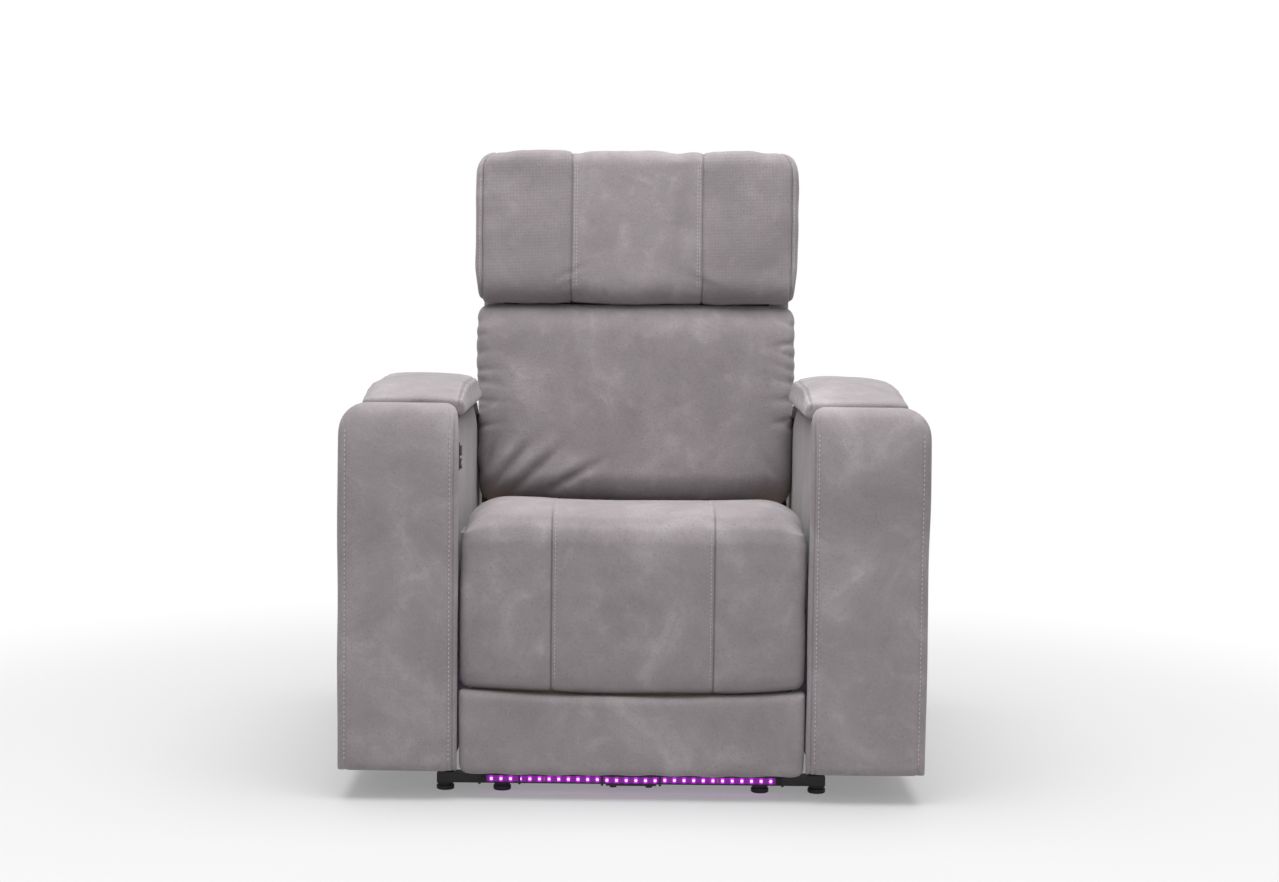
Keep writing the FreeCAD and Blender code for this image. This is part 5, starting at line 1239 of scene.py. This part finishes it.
def makeControls(look):
    face = -0.304
    bm = boxSolid((face, atDepth(look["front"]), look["low"] / 1000),
                  (face + look["plate"] / 1000, atDepth(look["front"] + look["width"]),
                   (look["low"] + look["height"]) / 1000))
    upright = [e for e in bm.edges if abs(e.verts[0].co.x - e.verts[1].co.x) > 0.001]
    bevelEdges(bm, upright, 0.0055, 6)
    outer = [e for e in bm.edges if all(v.co.x > face + 0.0039 for v in e.verts)]
    bevelEdges(bm, outer, 0.0012, 3)
    front = [f for f in bm.faces if f.normal.x > 0.99]
    bmesh.ops.inset_region(bm, faces=front, thickness=0.0022, depth=-0.0008)
    bezel = fromBmesh("controlBezel", bm, finish["bezel"])
    dress(bezel, "base", ["control_plate"])
    for body, node in (("footrest_rocker", "footrest_switch"), ("recline_rocker", "recline_switch")):
        low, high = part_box(node)
        bm = boxSolid((low.x, low.y, low.z), (high.x, high.y, high.z))
        bevelEdges(bm, [e for e in bm.edges if abs(e.verts[0].co.x - e.verts[1].co.x) > 0.001], 0.0042, 5)
        bevelEdges(bm, [e for e in bm.edges if all(v.co.x > high.x - 1e-5 for v in e.verts)], 0.0014, 3)
        bmesh.ops.subdivide_edges(bm, edges=bm.edges[:], cuts=2, use_grid_fill=True)
        middle = (low.z + high.z) / 2
        half = (high.z - low.z) / 2
        for v in bm.verts:
            share = (v.co.x - low.x) / (high.x - low.x)
            off = abs(v.co.z - middle) / half
            v.co.x -= 0.0014 * max(0, share - 0.4) * (1 - off ** 2)
            if share < 0.5:
                v.co.z = middle + (v.co.z - middle) * (0.55 + 0.8 * share)
        rocker = fromBmesh(f"{body.split('_')[0]}Rocker", bm, finish["rocker"])
        dress(rocker, body, [node])
        bm = bmesh.new()
        bmesh.ops.create_circle(bm, segments=28, radius=0.0040, cap_ends=False)
        for v in bm.verts:
            v.co = Vector((v.co.z, v.co.x, v.co.y))
        made = bmesh.ops.extrude_edge_only(bm, edges=bm.edges[:])
        bmesh.ops.scale(bm, vec=(1, 0.72, 0.72), verts=freshPoints(made))
        top = bmesh.ops.extrude_face_region(bm, geom=bm.faces[:])
        bmesh.ops.translate(bm, vec=(0.0008, 0, 0), verts=freshPoints(top))
        bmesh.ops.translate(bm, vec=(high.x - 0.0013, (low.y + high.y) / 2, middle), verts=bm.verts)
        ring = fromBmesh(f"{body.split('_')[0]}Ring", bm, finish["ring"])
        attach(ring, body)


makeControls(controls)
print("controls made")


# Feet: turned plastic pads with a chamfered foot and a waist

feetShape = {"profile": [(0.0, 14.0), (13.2, 14.0), (14.2, 13.2), (14.2, 10.6), (13.1, 10.0), (13.1, 8.6),
                         (15.0, 7.8), (15.4, 6.6), (15.4, 1.6), (14.2, 0.2), (0.0, 0.2)],
             "steps": 40}


def makeFeet(look):
    bm = bmesh.new()
    for out in (-0.322, -0.2235, 0.2235, 0.322):
        for depth in (105, 845):
            ring = [bm.verts.new((r / 1000, 0, z / 1000)) for r, z in look["profile"]]
            edges = [bm.edges.new((a, b)) for a, b in zip(ring, ring[1:])]
            bmesh.ops.spin(bm, geom=ring + edges, cent=(0, 0, 0), axis=(0, 0, 1), angle=2 * math.pi,
                           steps=look["steps"], use_merge=True)
            fresh = [v for v in bm.verts if v.co.length < 0.03 and not v.tag]
            bmesh.ops.remove_doubles(bm, verts=fresh, dist=1e-6)
            fresh = [v for v in bm.verts if not v.tag]
            bmesh.ops.translate(bm, vec=(out, atDepth(depth), 0), verts=fresh)
            for v in fresh:
                v.tag = True
    piece = fromBmesh("feetTurned", bm, finish["foot"])
    bevelled = piece.modifiers.new("Edges", "BEVEL")
    bevelled.width = 0.0005
    bevelled.segments = 2
    bevelled.limit_method = "ANGLE"
    dress(piece, "base", ["feet"])


makeFeet(feetShape)


# Light strip: square housings, each with a domed lit lens, and copper cut marks between groups

stripShape = {"count": 30, "pitch": 16.667, "front": 90, "low": 17, "width": 10, "bracket": 44, "plate": 4}


def tapeFace(look, x):  # the tape stands forward where it crosses the bracket's plate
    over = look["plate"] / 1000 if abs(x) < look["bracket"] / 1000 else 0
    return atDepth(look["front"]) - 0.0006 - over


def addBlock(bm, size, place):
    made = bmesh.ops.create_cube(bm, size=1)["verts"]
    bmesh.ops.scale(bm, vec=size, verts=made)
    bmesh.ops.translate(bm, vec=place, verts=made)


def makeDiodes(look):
    lens = bmesh.new()
    shell = bmesh.new()
    start = -look["count"] * look["pitch"] / 2
    for i in range(look["count"]):
        x = (start + look["pitch"] * (i + 0.5)) / 1000
        face = tapeFace(look, x)
        z = (look["low"] + look["width"] / 2) / 1000
        addBlock(shell, (0.0050, 0.0012, 0.0050), (x, face - 0.0006, z))
        made = bmesh.ops.create_uvsphere(lens, u_segments=12, v_segments=8, radius=0.00185)["verts"]
        bmesh.ops.scale(lens, vec=(1, 0.45, 1), verts=made)
        bmesh.ops.translate(lens, vec=(x, face - 0.0011, z), verts=made)
    bevelEdges(shell, shell.edges[:], 0.0004, 2)
    # the housings carry painted glow round each diode
    housing = fromBmesh("diodeHousings", shell, finish["diodeCase"])
    dress(housing, "base", ["led_chips"])
    lamps = fromBmesh("diodeLenses", lens, finish["diode"])
    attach(lamps, "base")
    marks = bmesh.new()
    for i in range(1, look["count"] // 6):
        x = (start + look["pitch"] * 6 * i) / 1000
        face = tapeFace(look, x)
        for row in (-0.0030, -0.0010, 0.0010, 0.0030):
            addBlock(marks, (0.0032, 0.0003, 0.0013), (x, face - 0.0001, 0.022 + row))
    bevelEdges(marks, marks.edges[:], 0.0001, 1)
    pads = fromBmesh("tapePads", marks, finish["copper"])
    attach(pads, "base")


# painted glow: the housings round the diodes glow violet as each diode's halo
finish["diodeCase"] = litDiode("glowingDiodeHousing", (0.46, 0.02, 0.62), 2.2)
finish["copper"] = platedSteel("copperPads", (0.75, 0.30, 0.20), 0.3, (1, 1, 1))
makeDiodes(stripShape)
print("base pieces made")


# Stage: pale floor that keeps the shadow, white all round, soft lamps

stageLook = {"floor": (0.60, 0.60, 0.605), "key": 12, "top": 140, "side": 7,
             "world": 0.40, "spill": 0.07, "lift": 0.26}


def makeLamp(name, place, turn, power, size):
    data = bpy.data.lights.new(name, "AREA")
    data.shape = "SQUARE"
    data.size = size
    data.energy = power
    lamp = bpy.data.objects.new(name, data)
    scene.collection.objects.link(lamp)
    lamp.location = place
    lamp.rotation_euler = turn
    return lamp


def makeStage(look):
    bm = bmesh.new()
    bmesh.ops.create_grid(bm, x_segments=1, y_segments=1, size=14)
    mesh = bpy.data.meshes.new("floor")
    bm.to_mesh(mesh)
    bm.free()
    floor = Surface("paleFloor", Roughness=0.75, Specular_IOR_Level=0.2)
    x, y, _ = floor.axes()
    away = (x * x + y * y) ** 0.5
    far = away.ramp(0.75, 2.1)
    grain = floor.noise(60, 2, 0.5)
    floor.set(Base_Color=floor.colour(grain * 0.10, look["floor"], tuple(c * 0.97 for c in look["floor"])))
    floor.set(Normal=floor.bump(grain, 0.0002, strength=0.2))
    white = floor.node("ShaderNodeEmission", {}, {"Color": (1, 1, 1, 1), "Strength": 1.0})
    path = floor.tree.nodes.new("ShaderNodeLightPath")
    seen = Wire(floor, path.outputs["Is Camera Ray"])
    glossy = Wire(floor, path.outputs["Is Glossy Ray"])
    through = Wire(floor, path.outputs["Is Transmission Ray"])
    share = (far * (1 - look["lift"]) + look["lift"]) * (seen + glossy + through).ramp(0.0, 1.0)
    mix = floor.node("ShaderNodeMixShader", {}, {0: share, 1: Wire(floor, floor.shader.outputs[0]), 2: white})
    floor.tree.links.new(mix.socket, floor.tree.nodes["Material Output"].inputs["Surface"])
    piece = addObject("floor", mesh, floor.material)

    world = bpy.data.worlds.new("studio")
    scene.world = world
    world.use_nodes = True
    tree = world.node_tree
    tree.nodes.clear()
    path = tree.nodes.new("ShaderNodeLightPath")
    direct = path.outputs["Is Camera Ray"]
    for ray in ("Is Glossy Ray", "Is Transmission Ray"):
        most = tree.nodes.new("ShaderNodeMath")
        most.operation = "MAXIMUM"
        tree.links.new(direct, most.inputs[0])
        tree.links.new(path.outputs[ray], most.inputs[1])
        direct = most.outputs[0]
    mixed = tree.nodes.new("ShaderNodeMixShader")
    tree.links.new(direct, mixed.inputs[0])
    for slot, colour, strength in ((1, (1, 0.985, 0.99, 1), look["world"]), (2, (1, 1, 1, 1), 1.0)):
        sky = tree.nodes.new("ShaderNodeBackground")
        sky.inputs["Color"].default_value = colour
        sky.inputs["Strength"].default_value = strength
        tree.links.new(sky.outputs[0], mixed.inputs[slot])
    output = tree.nodes.new("ShaderNodeOutputWorld")
    tree.links.new(mixed.outputs[0], output.inputs["Surface"])

    for name, place, aim, size, power in (
            ("topSoftbox", (0, -0.5, 3.1), (0, 0.0, 0.4), 3.2, look["top"]),
            ("keySoftbox", (-1.6, -3.6, 2.3), (0, -0.1, 0.55), 2.2, look["key"]),
            ("fillSoftbox", (1.9, -3.4, 1.7), (0, -0.1, 0.5), 2.2, look["side"]),
            ("rearSoftbox", (0.4, 3.0, 2.4), (0, 0.1, 0.6), 2.2, look["side"])):
        turn = (Vector(aim) - Vector(place)).to_track_quat("-Z", "Y").to_euler()
        makeLamp(name, place, turn, power, size)
    # the strip's violet light on the tube, the bracket and the inner feet
    glow = makeLamp("stripGlow", (0, atDepth(60), 0.014), (math.radians(125), 0, 0), look["spill"], 0.5)
    glow.data.shape = "RECTANGLE"
    glow.data.size_y = 0.008
    glow.data.color = (0.62, 0.06, 1.0)
    glow.visible_camera = False
    glow.visible_glossy = False


makeStage(stageLook)
print("stage set")

bpy.context.view_layer.update()
